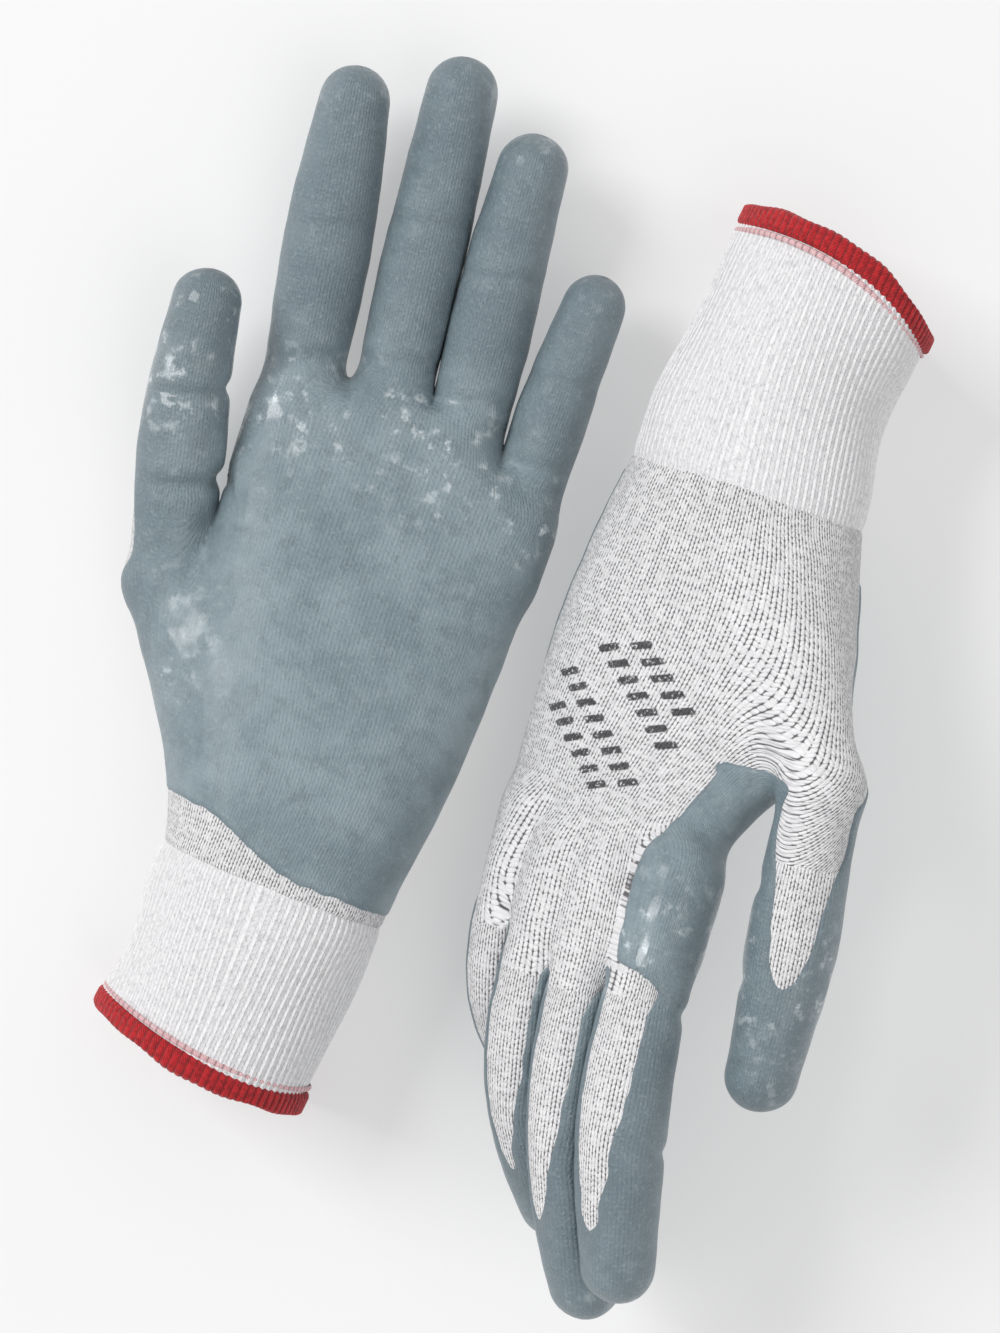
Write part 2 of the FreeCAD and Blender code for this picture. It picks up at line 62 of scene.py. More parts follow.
GRID = 0.8                  # spacing of the grid that the skins are drawn from
COARSE = 4                  # a first look at the field takes every so many points of that grid
FAR_OFF = 9.0               # stands for "well clear" where only the sign of a distance matters
COAT_RISE = 0.35            # the dipped skin stands this far off the knit
SINK = 0.45                 # how far one skin dives under the other past the dip's edge
OVERLAP = 1.6               # how far both skins run on past the dip's edge
COAT_EDGE = (-0.9, 0.7)     # the dip rises from under the knit over this run at its edge
KNIT_EDGE = (0.0, 1.1)      # and the knit dives under the dip over this one
BLEND_REACH = 7.0           # a bend of a knuckle's skin would reach this far each way from its hinge; nothing is bent by it
CROTCH_GAP = 8.0            # from the start of a digit's skin to its first hinge
WALES_ROUND_HAND = 112      # columns of stitches
WALES_ROUND_DIGIT = 36
COURSE = 1.25               # one row of stitches
RIBS = 84                   # round a cuff


# ---------------------------------------------------------------- curves and noise

def smooth(value, low, high):
    """0 below low, 1 above high, turning smoothly between them."""
    share = np.clip((value - low) / (high - low), 0.0, 1.0)
    return share * share * (3.0 - 2.0 * share)


def spline(stations, values):
    """A natural cubic curve through the values at the stations, as a function."""
    xs = np.array(stations, float)
    ys = np.array(values, float).reshape(len(xs), -1)
    gaps = np.diff(xs)
    system = np.eye(len(xs))
    slopes = np.zeros_like(ys)
    for i in range(1, len(xs) - 1):
        system[i, i - 1:i + 2] = gaps[i - 1], 2 * (gaps[i - 1] + gaps[i]), gaps[i]
        slopes[i] = 6 * ((ys[i + 1] - ys[i]) / gaps[i] - (ys[i] - ys[i - 1]) / gaps[i - 1])
    bends = np.linalg.solve(system, slopes)

    def at(x):
        x = np.clip(np.asarray(x, float), xs[0], xs[-1])
        i = np.clip(np.searchsorted(xs, x) - 1, 0, len(gaps) - 1)
        after = (x - xs[i])[..., None]
        before = (xs[i + 1] - x)[..., None]
        gap = gaps[i][..., None]
        line = (bends[i] * before ** 3 + bends[i + 1] * after ** 3) / (6 * gap)
        line += (ys[i] / gap - bends[i] * gap / 6) * before
        line += (ys[i + 1] / gap - bends[i + 1] * gap / 6) * after
        return line[..., 0] if ys.shape[1] == 1 else line
    return at


def unit(vector):
    return vector / np.linalg.norm(vector)


def ripple(points, length, seed):
    """A smooth random swell between about -1 and 1, with waves about this long."""
    random = np.random.default_rng(seed)
    total = np.zeros(len(points))
    waves = 7
    usual_peak = 1.4 * math.sqrt(waves)
    for _ in range(waves):
        direction = unit(random.normal(size=3))
        pitch = length * random.uniform(0.7, 1.5)
        total += np.sin(points @ direction * TURN / pitch + random.uniform(0, TURN))
    return total / usual_peak


def merge(a, b, reach):
    """The union of two distance fields, filleted over this reach."""
    share = np.clip(0.5 + 0.5 * (b - a) / reach, 0.0, 1.0)
    return b + (a - b) * share - reach * share * (1.0 - share)


# ---------------------------------------------------------------- places from the frame

def points_of(node):
    """A CAD node's points in the row frame, in millimetres."""
    return np.array([v.co for v in frame["nodes"][node].data.vertices], float) / MM


SHIFTS = {                  # the skin of a digit is drawn this far across: hinge, hinge, tip
    "left": {"index": (-0.8, -1.0, -1.0), "ring": (-0.5, -1.2, -1.0), "little": (0.0, -0.6, 0.0)},
    "right": {
        "thumb": (1.0, 1.0, 1.0),
        "index": (7.5, 6.0, 5.0),
        "middle": (5.0, 2.5, -0.5),
        "ring": (2.0, 1.0, 0.0),
        "little": (-1.5, -2.5, -2.0),
    },
}


class Glove:
    """One glove's hand space and the lines of its digits, all read from the frame."""

    def __init__(self, side):
        self.side = side
        self.body = f"{side}_hand"
        self.set_axes()
        self.set_digits()

    def set_axes(self):
        """The hand's directions, its origin and the cuff's twist against the palm."""
        side = self.side
        near = {d: self.joint_place(f"{side}_{d}_curl") for d in DIGITS}
        far_middle = self.joint_place(f"{side}_middle_tip_curl")
        rings = points_of(f"{side}_cuff_elastic")
        centre = rings.mean(0)
        spread = np.linalg.eigh(np.cov((rings - centre).T))[1]
        self.along = spread[:, 0] * np.sign(spread[:, 0] @ (near["middle"] - centre))
        across = near["little"] - near["index"]
        self.across = unit(across - (across @ self.along) * self.along)
        hinge = np.array(JOINTS[f"{side}_middle_curl"]["axis"])
        bend = np.cross(hinge, far_middle - near["middle"])
        palm = np.cross(self.across, self.along)
        self.palm = palm * np.sign(palm @ bend)
        self.mirrored = np.cross(self.across, self.along) @ self.palm < 0
        self.axes = np.array([self.across, self.along, self.palm])
        start = ((points_of(f"{side}_palm_liner") - centre) @ self.along).min()
        self.origin = centre + start * self.along
        cuff = self.axes @ (spread[:, 2] * np.sign(spread[:, 2] @ self.across))
        self.twist = math.atan2(cuff[2], cuff[0])

    def set_digits(self):
        """Each digit's two hinges, its tip and its radius, with the skin's shifts added."""
        side = self.side
        self.near = {d: self.to_hand(self.joint_place(f"{side}_{d}_curl")) for d in DIGITS}
        self.far = {d: self.to_hand(self.joint_place(f"{side}_{d}_tip_curl")) for d in DIGITS}
        self.tip = {}
        self.radius = {}
        for digit in DIGITS:
            end = self.to_hand(points_of(f"{side}_{digit}_tip_coating"))
            self.tip[digit] = end[np.linalg.norm(end - self.far[digit], axis=1).argmax()]
            skin = self.to_hand(points_of(f"{side}_{digit}_coating")) - self.near[digit]
            line = unit(self.far[digit] - self.near[digit])
            self.radius[digit] = np.linalg.norm(np.cross(skin, line), axis=1).max()
        for digit, shifts in SHIFTS[side].items():
            for places, shift in zip((self.near, self.far, self.tip), shifts):
                places[digit] = places[digit] + np.array([shift, 0.0, 0.0])

    @staticmethod
    def joint_place(name):
        return np.array(JOINTS[name]["pos_m"], float) / MM

    def to_hand(self, points):
        return (points - self.origin) @ self.axes.T

    def to_row(self, points):
        return points @ self.axes + self.origin

    def run(self, digit):
        """The direction of a digit's near length."""
        return unit(self.far[digit] - self.near[digit])

    def root_run(self, digit):
        """The direction in which a digit leaves the hand: fingers leave it flat."""
        run = self.run(digit).copy()
        if digit in FINGERS:
            run[2] = 0.0
        return unit(run)

    def tip_run(self, digit):
        return unit(self.tip[digit] - self.far[digit])


GLOVES = {side: Glove(side) for side in SIDES}


# ---------------------------------------------------------------- shape of a glove

# Hand sections, in shares of the knuckles' half width: place along the hand (a share of its
# length to the knuckles), middle across, half width, half depth, height of the middle.
SECTIONS = {
    "left": (
        (-0.10, 0.000, 0.695, 0.545, 0.000),
        (0.00, -0.010, 0.700, 0.540, 0.000),
        (0.20, -0.010, 0.755, 0.510, -0.040),
        (0.46, -0.130, 0.905, 0.450, -0.090),
        (0.75, -0.205, 0.960, 0.345, -0.180),
        (0.93, -0.230, 0.970, 0.280, -0.230),
        (1.10, -0.250, 0.970, 0.235, -0.265),
    ),
    "right": (
        (-0.10, 0.080, 0.760, 0.540, 0.000),
        (0.00, 0.070, 0.840, 0.540, 0.000),
        (0.20, 0.000, 0.985, 0.510, -0.040),
        (0.46, -0.030, 1.050, 0.430, -0.100),
        (0.75, 0.040, 0.910, 0.280, -0.240),
        (0.93, -0.050, 0.930, 0.250, -0.260),
        (1.10, -0.130, 0.900, 0.235, -0.265),
    ),
}
SQUARENESS = 2.35           # 2 is an oval section, more is squarer
TWIST_END = 110.0           # the cuff's twist has died away this far up the hand
SKIN_START = -4.0           # the hand's skin starts this far down, over the cuff
THENAR = (-0.50, 18.0, -0.03, 0.31)     # across, along, height and radius of the thumb's muscle
THENAR_FILLET = 12.0
DIGIT_RADII = {             # in shares of the digit's radius: root, hinge, middle, hinge, tip
    "thumb": (0.94, 1.00, 1.03, 0.98, 0.86),
    "index": (1.00, 1.00, 1.03, 1.03, 0.86),
    "middle": (0.98, 0.96, 0.97, 0.96, 0.84),
    "ring": (1.00, 0.98, 1.02, 1.01, 0.86),
    "little": (1.00, 1.00, 1.02, 0.96, 0.86),
}
TIP_RISE = 1.8              # the skin's tips lie this far beyond the CAD's
# A digit's line starts this far down inside the palm.
ROOT_REACH = {"thumb": 26.0, "index": 30.0, "middle": 30.0, "ring": 30.0, "little": 28.0}
THUMB_FILLET = 4.0
FINGER_FILLET = 7.0
END_ROUND = 8.0             # the palm's end is rounded off between the fingers by this much
LINE_STEPS = 22             # round segments that make up one digit
HALF_GAP = 0.75             # half the least gap between neighbouring digits
GAP_FADE = (-3.0, 4.0)      # the gap opens over this run about the crotch
MERGED = 12.0               # further down, neighbours may overlap by this much


def digit_line(glove, digit):
    """Points and radii along a digit, from inside the palm to the middle of its round tip."""
    near, far = glove.near[digit], glove.far[digit]
    radii = np.array(DIGIT_RADII[digit]) * glove.radius[digit]
    root = near - ROOT_REACH[digit] * glove.root_run(digit)
    end = glove.tip[digit] - (radii[-1] - TIP_RISE) * glove.tip_run(digit)
    stops = np.array([root, near, far, end])
    places = np.concatenate([[0.0], np.cumsum(np.linalg.norm(np.diff(stops, axis=0), axis=1))])
    middle = (places[1] + places[2]) / 2
    steps = np.linspace(0.0, places[-1], LINE_STEPS + 1)
    radius_at = spline((places[0], places[1], middle, places[2], places[3]), radii)
    return spline(places, stops)(steps), radius_at(steps)


def chain_distance(points, line, radii):
    """Distance from points to a chain of round cones."""
    best = np.full(points.shape[:-1], 1e3, np.float32)
    for start, end, first, last in zip(line[:-1], line[1:], radii[:-1], radii[1:]):
        step = (end - start).astype(np.float32)
        offset = points - start.astype(np.float32)
        share = np.clip(offset @ step / (step @ step), 0.0, 1.0)
        nearest = offset - share[..., None] * step
        distance = np.sqrt((nearest * nearest).sum(-1)) - (first + (last - first) * share)
        best = np.minimum(best, distance)
    return best


class Form:
    """The glove's shape as a distance field."""

    def __init__(self, glove):
        self.glove = glove
        roots = {d: glove.near[d] - CROTCH_GAP * glove.root_run(d) for d in DIGITS}
        self.roots = roots
        self.length = np.mean([roots[d][1] for d in FINGERS])
        half = (roots["little"][0] - roots["index"][0]) / 2 + glove.radius["index"]
        self.half = half
        table = np.array(SECTIONS[glove.side])
        stations = table[:, 0] * self.length
        self.section = spline(stations, table[:, 1:] * half)
        order = sorted(FINGERS, key=lambda d: roots[d][0])
        self.end = spline([roots[d][0] for d in order], [roots[d][1] for d in order])
        self.lines = {d: digit_line(glove, d) for d in DIGITS}

    def untwisted(self, points):
        """Points with the cuff's twist taken out, about the hand's long axis."""
        angle = self.glove.twist * (1.0 - smooth(points[..., 1], 0.0, TWIST_END))
        c, s = np.cos(angle), np.sin(angle)
        x, p = points[..., 0], points[..., 2]
        return x * c + p * s, p * c - x * s

    def palm_round(self, points):
        """Where points lie round the hand's section: across and out, as shares of its size."""
        x, p = self.untwisted(points)
        section = self.section(points[..., 1])
        across = (x - section[..., 0]) / section[..., 1]
        out = (p - section[..., 3]) / section[..., 2]
        return across, out, section

    def palm_distance(self, points):
        """Distance to the palm alone: a squarish section with a rounded end."""
        across, out, section = self.palm_round(points)
        n = SQUARENESS
        tiny = 1e-4         # keeps the slope finite in the very middle
        across, out = np.abs(across) + tiny, np.abs(out) + tiny
        size = (across ** n + out ** n) ** (1.0 / n)
        slope = size ** (1.0 - n) * np.hypot(across ** (n - 1) / section[..., 1],
                                             out ** (n - 1) / section[..., 2])
        side = (size - 1.0) / slope + END_ROUND
        beyond = points[..., 1] - self.end(points[..., 0]) + END_ROUND
        inside = np.minimum(np.maximum(side, beyond), 0.0)
        return inside + np.hypot(np.maximum(side, 0.0), np.maximum(beyond, 0.0)) - END_ROUND

    def thenar_line(self):
        """The thumb's muscle: a line from the heel of the hand to the thumb's root, and radii."""
        across, along, height, radius = THENAR
        heel = np.array([across * self.half, along, height * self.half])
        line, radii = self.lines["thumb"]
        return np.array([heel, line[0]]), np.array([radius * self.half, radii[0]])

    def digit_distances(self, points):
        """Distance to each digit, with neighbours kept apart beyond their crotch."""
        raw = {digit: chain_distance(points, *self.lines[digit]) for digit in DIGITS}
        apart = {}
        for digit in DIGITS:
            distance = raw[digit]
            for other in DIGITS:
                if other == digit or "thumb" in (digit, other):
                    continue
                crotch = (self.roots[digit][1] + self.roots[other][1]) / 2
                free = MERGED * (1.0 - smooth(points[..., 1] - crotch, *GAP_FADE))
                distance = np.maximum(distance, (raw[digit] - raw[other]) / 2 + HALF_GAP - free)
            apart[digit] = distance
        return apart

    def distance(self, points):
        """The whole glove's field."""
        muscle = chain_distance(points, *self.thenar_line())
        body = merge(self.palm_distance(points), muscle, THENAR_FILLET)
        apart = self.digit_distances(points)
        body = merge(body, apart["thumb"], THUMB_FILLET)
        fingers = np.minimum.reduce([apart[d] for d in FINGERS])
        return merge(body, fingers, FINGER_FILLET)


def surface_net(field, corner, step):
    """Points and square faces of the surface where a field on a grid is zero.

    Each cell that the surface passes through gets one point, in the middle of the places where
    the surface crosses the cell's edges. Each grid edge that it crosses gets one face, between
    the points of the four cells round that edge.
    """
    shape = np.array(field.shape) - 1
    inside = field < 0

    def shifted(grid, offset):
        i, j, k = offset
        return grid[i:shape[0] + i, j:shape[1] + j, k:shape[2] + k]

    corners = [(i, j, k) for i in (0, 1) for j in (0, 1) for k in (0, 1)]
    count = sum(shifted(inside, c).astype(np.int8) for c in corners)
    active = (count > 0) & (count < 8)
    cells = np.argwhere(active)
    number = np.full(active.shape, -1, np.int64)
    number[active] = np.arange(len(cells))
    total = np.zeros((len(cells), 3))
    hits = np.zeros(len(cells))
    values = {c: field[cells[:, 0] + c[0], cells[:, 1] + c[1], cells[:, 2] + c[2]] for c in corners}
    for a in corners:
        for axis in range(3):
            if a[axis]:
                continue
            b = tuple(1 if n == axis else a[n] for n in range(3))
            crossed = (values[a] < 0) != (values[b] < 0)
            share = values[a] / np.where(crossed, values[a] - values[b], 1.0)
            place = np.array(a, float) + share[:, None] * np.eye(3)[axis]
            total += np.where(crossed[:, None], place, 0.0)
            hits += crossed
    points = (cells + total / hits[:, None]) * step + corner
    faces = []
    for axis in range(3):
        one, two = (axis + 1) % 3, (axis + 2) % 3
        low = [slice(1, None)] * 3
        high = [slice(1, None)] * 3
        low[axis] = slice(0, -1)
        crossed = np.argwhere(inside[tuple(low)] != inside[tuple(high)])
        crossed = crossed + np.array([0 if n == axis else 1 for n in range(3)])
        keep = (crossed[:, one] < shape[one]) & (crossed[:, two] < shape[two])
        crossed = crossed[keep]
        ring = []
        for da, db in ((-1, -1), (0, -1), (0, 0), (-1, 0)):
            cell = crossed.copy()
            cell[:, one] += da
            cell[:, two] += db
            ring.append(number[cell[:, 0], cell[:, 1], cell[:, 2]])
        quads = np.stack(ring, axis=1)
        starts = inside[crossed[:, 0], crossed[:, 1], crossed[:, 2]]
        quads[~starts] = quads[~starts][:, ::-1]
        faces.append(quads)
    return points, np.concatenate(faces)


ROUND_DIGITS = 16.0         # room left round the digits' lines in the grid
ROUND_PALM = (1.25, 1.1)    # and below and above the palm's middle, in half widths
NEAR_ENOUGH = 2.4           # the fine grid is worked out this many coarse cells from the surface


def draw_surface(form):
    """The glove's surface as points and square faces: a coarse look, then a fine net near it."""
    line_points = np.concatenate([line for line, _ in form.lines.values()])
    low = line_points.min(0) - ROUND_DIGITS
    high = line_points.max(0) + ROUND_DIGITS
    low[1] = SKIN_START
    below, above = ROUND_PALM
    low[[0, 2]] = np.minimum(low[[0, 2]], -below * form.half)
    high[[0, 2]] = np.maximum(high[[0, 2]], above * form.half)
    counts = np.ceil((high - low) / (GRID * COARSE)).astype(int) * COARSE + 1
    axes = [low[n] + GRID * np.arange(counts[n]) for n in range(3)]
    rough_points = np.stack(np.meshgrid(*(a[::COARSE] for a in axes), indexing="ij"), axis=-1)
    rough = form.distance(rough_points.reshape(-1, 3)).reshape(rough_points.shape[:3])
    fine = rough
    for axis in range(3):
        fine = np.repeat(fine, COARSE, axis=axis)
        fine = np.take(fine, np.arange(counts[axis]), axis=axis)
    centred = np.roll(fine, (COARSE // 2,) * 3, axis=(0, 1, 2))
    close = np.abs(centred) < NEAR_ENOUGH * GRID * COARSE
    points = np.argwhere(close) * GRID + low
    fine = np.where(centred < 0, -FAR_OFF, FAR_OFF)
    fine[close] = form.distance(points)
    return surface_net(fine, low, GRID)


def relaxed(points, faces, rounds):
    """Points drawn towards the middle of their neighbours, to even out the net's steps."""
    pairs = np.concatenate([faces[:, [0, 1]], faces[:, [1, 2]], faces[:, [2, 3]], faces[:, [3, 0]]])
    pairs = np.concatenate([pairs, pairs[:, ::-1]])
    count = np.bincount(pairs[:, 0], minlength=len(points))[:, None]
    for _ in range(rounds):
        total = np.stack([np.bincount(pairs[:, 0], points[pairs[:, 1], n], len(points))
                          for n in range(3)], axis=1)
        points = points + 0.5 * (total / np.maximum(count, 1) - points)
    return points


def normals_of(points, faces):
    """Unit normals at points."""
    a, b, c, d = (points[faces[:, n]] for n in range(4))
    across = np.cross(c - a, d - b)
    total = np.zeros_like(points)
    for n in range(3):
        for corner in range(4):
            total[:, n] += np.bincount(faces[:, corner], across[:, n], len(points))
    return total / np.maximum(np.linalg.norm(total, axis=1, keepdims=True), 1e-9)


# ---------------------------------------------------------------- what each point belongs to

# Along a digit from its hinge: where its skin parts from the hand's, and where a bend of it would
# start.
SEAMS = {"thumb": -8.0, "index": -1.5, "middle": -4.5, "ring": -2.5, "little": -1.0}
# And where such a bend would end. No skin is bent by these places.
BEND_ENDS = {"thumb": 7.0, "index": 12.0, "middle": 10.0, "ring": 11.0, "little": 9.0}
DIP_LEVELS = (-0.13, -0.32)     # how far back the dip reaches, at the wrist and the knuckles
THUMB_SIDE_LEVELS = (0.02, -0.20)       # the same beside the thumb, at the wrist and its root
THUMB_SIDE_RUN = (0.10, 0.45)   # it passes from one to the other over these hand lengths
THUMB_SIDE = (0.2, 0.7)         # the thumb's side begins over these half widths
DIP_EDGE_SIDES = (9.0, 1.0)     # where it ends at the wrist, on the thumb's and the far side
DIP_EDGE_TURN = (-0.2, 0.75)    # it passes from one to the other over these half widths
WEB_START = 0.53                # the web's dip reaches over to the back from here on
WEB_REACH = -0.70               # and as far in as this share of the hand's half width
BARE_BACK = {               # bare strip on a digit's back: turn, half angle, start, end from tip
    "thumb": (18.0, 32.0, 4.0, 30.0),
    "index": (-12.0, 37.0, -4.0, 18.0),
    "middle": (-10.0, 34.0, -2.0, 26.0),
    "ring": (-8.0, 34.0, -2.0, 22.0),
    "little": (-5.0, 36.0, -2.0, 16.0),
}
TURN_OVER = 8.0             # the digit's direction turns over this run each side of its knuckle
ROOT_WIDENING = (1.9, -16.0, 4.0)   # a bare strip is this much wider at its root, up to where
HAND_TO_DIGIT = (-12.0, -3.0)       # the dip's edge passes from the hand's to the digit's here
THUMB_EARLIER = 16.0        # and this much earlier on the thumb
EDGE_WAVES = ((0.5, 14.0, 3), (0.25, 5.0, 4))   # height, length and seed of the edge's waviness
OWN_SKIN = 1.5              # a digit owns the points this near it, beyond the palm's own


class Facts:
    """Where each point of a glove's skin lies: on the hand or on which digit, and how far along."""

    def __init__(self, form, points):
        self.form = form
        self.points = points
        apart = form.digit_distances(points)
        self.palm = form.palm_distance(points)
        self.nearest = np.argmin(np.stack([apart[d] for d in DIGITS]), axis=0)
        self.past_near = np.zeros(len(points))
        self.past_middle = np.zeros(len(points))
        self.along = np.zeros(len(points))
        self.angle = np.zeros(len(points))
        self.from_tip = np.zeros(len(points))
        self.on_digit = np.zeros(len(points), bool)
        for number, digit in enumerate(DIGITS):
            mine = self.nearest == number
            self.set_digit(digit, mine)
            own = apart[digit][mine] < np.maximum(self.palm[mine], 0.0) + OWN_SKIN
            self.on_digit[mine] = (self.past_near[mine] > SEAMS[digit]) & own
        across, out, _ = form.palm_round(points)
        self.round = np.arctan2(out, across)

    def set_digit(self, digit, mine):
        """Where the points nearest to one digit lie along it and round it."""
        glove = self.form.glove
        near, far = glove.near[digit], glove.far[digit]
        run, tip_run = glove.run(digit), glove.tip_run(digit)
        from_near, from_far = self.points[mine] - near, self.points[mine] - far
        length = np.linalg.norm(far - near)
        total = length + np.linalg.norm(glove.tip[digit] - far)
        first = from_near @ run
        share = smooth(first - length, -TURN_OVER, TURN_OVER)
        along = first * (1 - share) + (length + from_far @ tip_run) * share
        hinge = unit(glove.axes @ np.array(JOINTS[f"{glove.side}_{digit}_curl"]["axis"]))
        up_near, up_far = np.cross(hinge, run), np.cross(hinge, tip_run)
        if glove.mirrored:
            up_near, up_far = -up_near, -up_far
        up = (from_near @ up_near) * (1 - share) + (from_far @ up_far) * share
        self.past_near[mine] = from_near @ unit(run + glove.root_run(digit))
        self.past_middle[mine] = first - length / 2
        self.along[mine] = along
        self.from_tip[mine] = total - along
        self.angle[mine] = np.arctan2(from_near @ hinge, up)

    def dip(self):
        """How far inside the dip's edge each point is, in millimetres. Bare knit is below 0."""
        thumb = self.nearest == DIGITS.index("thumb")
        reach = self.past_near + np.where(thumb, THUMB_EARLIER, 0.0)
        share = smooth(reach, *HAND_TO_DIGIT) * (self.palm > -1.0)
        wave = sum(height * ripple(self.points, length, seed) for height, length, seed in EDGE_WAVES)
        return self.hand_dip() * (1 - share) + self.digit_dip() * share + wave * (1 - 0.5 * share)

    def hand_dip(self):
        """The same on the hand: a level round its sides, an end near the wrist, and the web."""
        form = self.form
        across, out, section = form.palm_round(self.points)
        p = section[:, 3] + out * section[:, 2]
        y = self.points[:, 1]
        at_wrist, at_knuckle = (level * form.half for level in DIP_LEVELS)
        level = at_wrist + (at_knuckle - at_wrist) * np.clip(y / form.length, 0.0, 1.1)
        at_wrist, at_root = (level * form.half for level in THUMB_SIDE_LEVELS)
        thumb_level = at_wrist + (at_root - at_wrist) * smooth(y / form.length, *THUMB_SIDE_RUN)
        level += (thumb_level - level) * smooth(-across, *THUMB_SIDE)
        thumb_side, far_side = DIP_EDGE_SIDES
        edge = far_side + (thumb_side - far_side) * smooth(-across, *DIP_EDGE_TURN)
        web = np.minimum((WEB_REACH - across) * section[:, 1], y - WEB_START * form.length)
        return np.maximum(np.minimum(p - level, y - edge), web)

    def digit_dip(self):
        """The same on the digits: each has a bare strip on its back that narrows to its end."""
        digit = np.zeros(len(self.points))
        widest, wide_until, narrow_from = ROOT_WIDENING
        for number, name in enumerate(DIGITS):
            mine = self.nearest == number
            along = self.along[mine]
            turn, half_angle, start, end = BARE_BACK[name]
            turned = self.angle[mine] - math.pi - math.radians(turn)
            back = np.abs((turned + math.pi) % TURN - math.pi)
            widening = widest - (widest - 1.0) * smooth(along, wide_until, narrow_from)
            half = math.radians(half_angle) * widening
            total = along + self.from_tip[mine]
            late = np.maximum(along - start, 0.0) / (total - end - start)
            size = np.hypot(back / half, late)
            digit[mine] = (size - 1.0) * half * self.form.glove.radius[name]
        return digit

    def knit_on_hand(self):
        """Where each point lies in the hand's knit: columns round and rows along."""
        return self.round / TURN * WALES_ROUND_HAND, self.points[:, 1] / COURSE

    def knit_on_digit(self):
        """The same in the digit's own knit."""
        return self.angle / TURN * WALES_ROUND_DIGIT, self.along / COURSE


# ---------------------------------------------------------------- mark on the back

MARKED_SIDE = "right"
MARK_AT = (0.02, 0.50)      # middle of the mark: across in half widths, along in hand lengths
MARK_TURN = math.radians(-38.0)
MARK_ROWS = ((-13.0, 5), (-5.5, 7), (7.0, 8), (14.5, 6))    # a row's place and dashes
DASH_PITCH = 4.7
DASH_HALF = (1.1, 2.5)      # half width and half length
DASH_LEAN = 0.55


def mark_depth(form, points):
    """How far inside a plain pattern of leaning dashes each point is, in millimetres."""
    across = points[:, 0] - MARK_AT[0] * form.half
    along = points[:, 1] - MARK_AT[1] * form.length
    c, s = math.cos(MARK_TURN), math.sin(MARK_TURN)
    u, v = across * c + along * s, along * c - across * s
    depth = np.full(len(points), -FAR_OFF)
    for place, count in MARK_ROWS:
        for number in range(count):
            middle = (number - (count - 1) / 2) * DASH_PITCH
            dv = np.abs(v - place) - DASH_HALF[1]
            du = np.abs(u - middle - DASH_LEAN * (v - place)) - DASH_HALF[0]
            depth = np.maximum(depth, -np.maximum(du, dv))
    return depth


# ---------------------------------------------------------------- making pieces

def make_mesh(name, points, faces, columns=None, material=None, normals=None):
    """A named mesh from points and square faces, with its knit columns as a UV map."""
    mesh = bpy.data.meshes.new(name)
    mesh.from_pydata((points * MM).tolist(), [], faces.tolist())
    if columns is not None:
        layer = mesh.uv_layers.new(name="knit")
        layer.data.foreach_set("uv", columns.astype(np.float32).ravel())
    mesh.shade_smooth()
    if normals is not None:
        mesh.normals_split_custom_set_from_vertices(normals.tolist())
    piece = bpy.data.objects.new(name, mesh)
    bpy.context.scene.collection.objects.link(piece)
    if material:
        mesh.materials.append(material)
    return piece


def keep_rest(piece, points):
    """Keep each point's place in the hand, so that a material stays with a moving piece."""
    rest = piece.data.attributes.new("rest", "FLOAT_VECTOR", "POINT")
    rest.data.foreach_set("vector", points.astype(np.float32).ravel())


def face_columns(faces, column, row, turns):
    """Knit columns and rows at face corners, with no face wrapping round the glove."""
    at_corner = column[faces]
    low = at_corner.min(axis=1, keepdims=True)
    high = at_corner.max(axis=1, keepdims=True)
    wraps = (high - low) > turns / 2
    at_corner = np.where(wraps & (at_corner < low + turns / 2), at_corner + turns, at_corner)
    return np.stack([at_corner, row[faces]], axis=-1)


DIGIT_SHADE_RUN = (2.0, 22.0)  # painted shade: the rubber is painted darker over this distance out from the palm
NET_ROUNDS = 2              # of evening out the net's steps


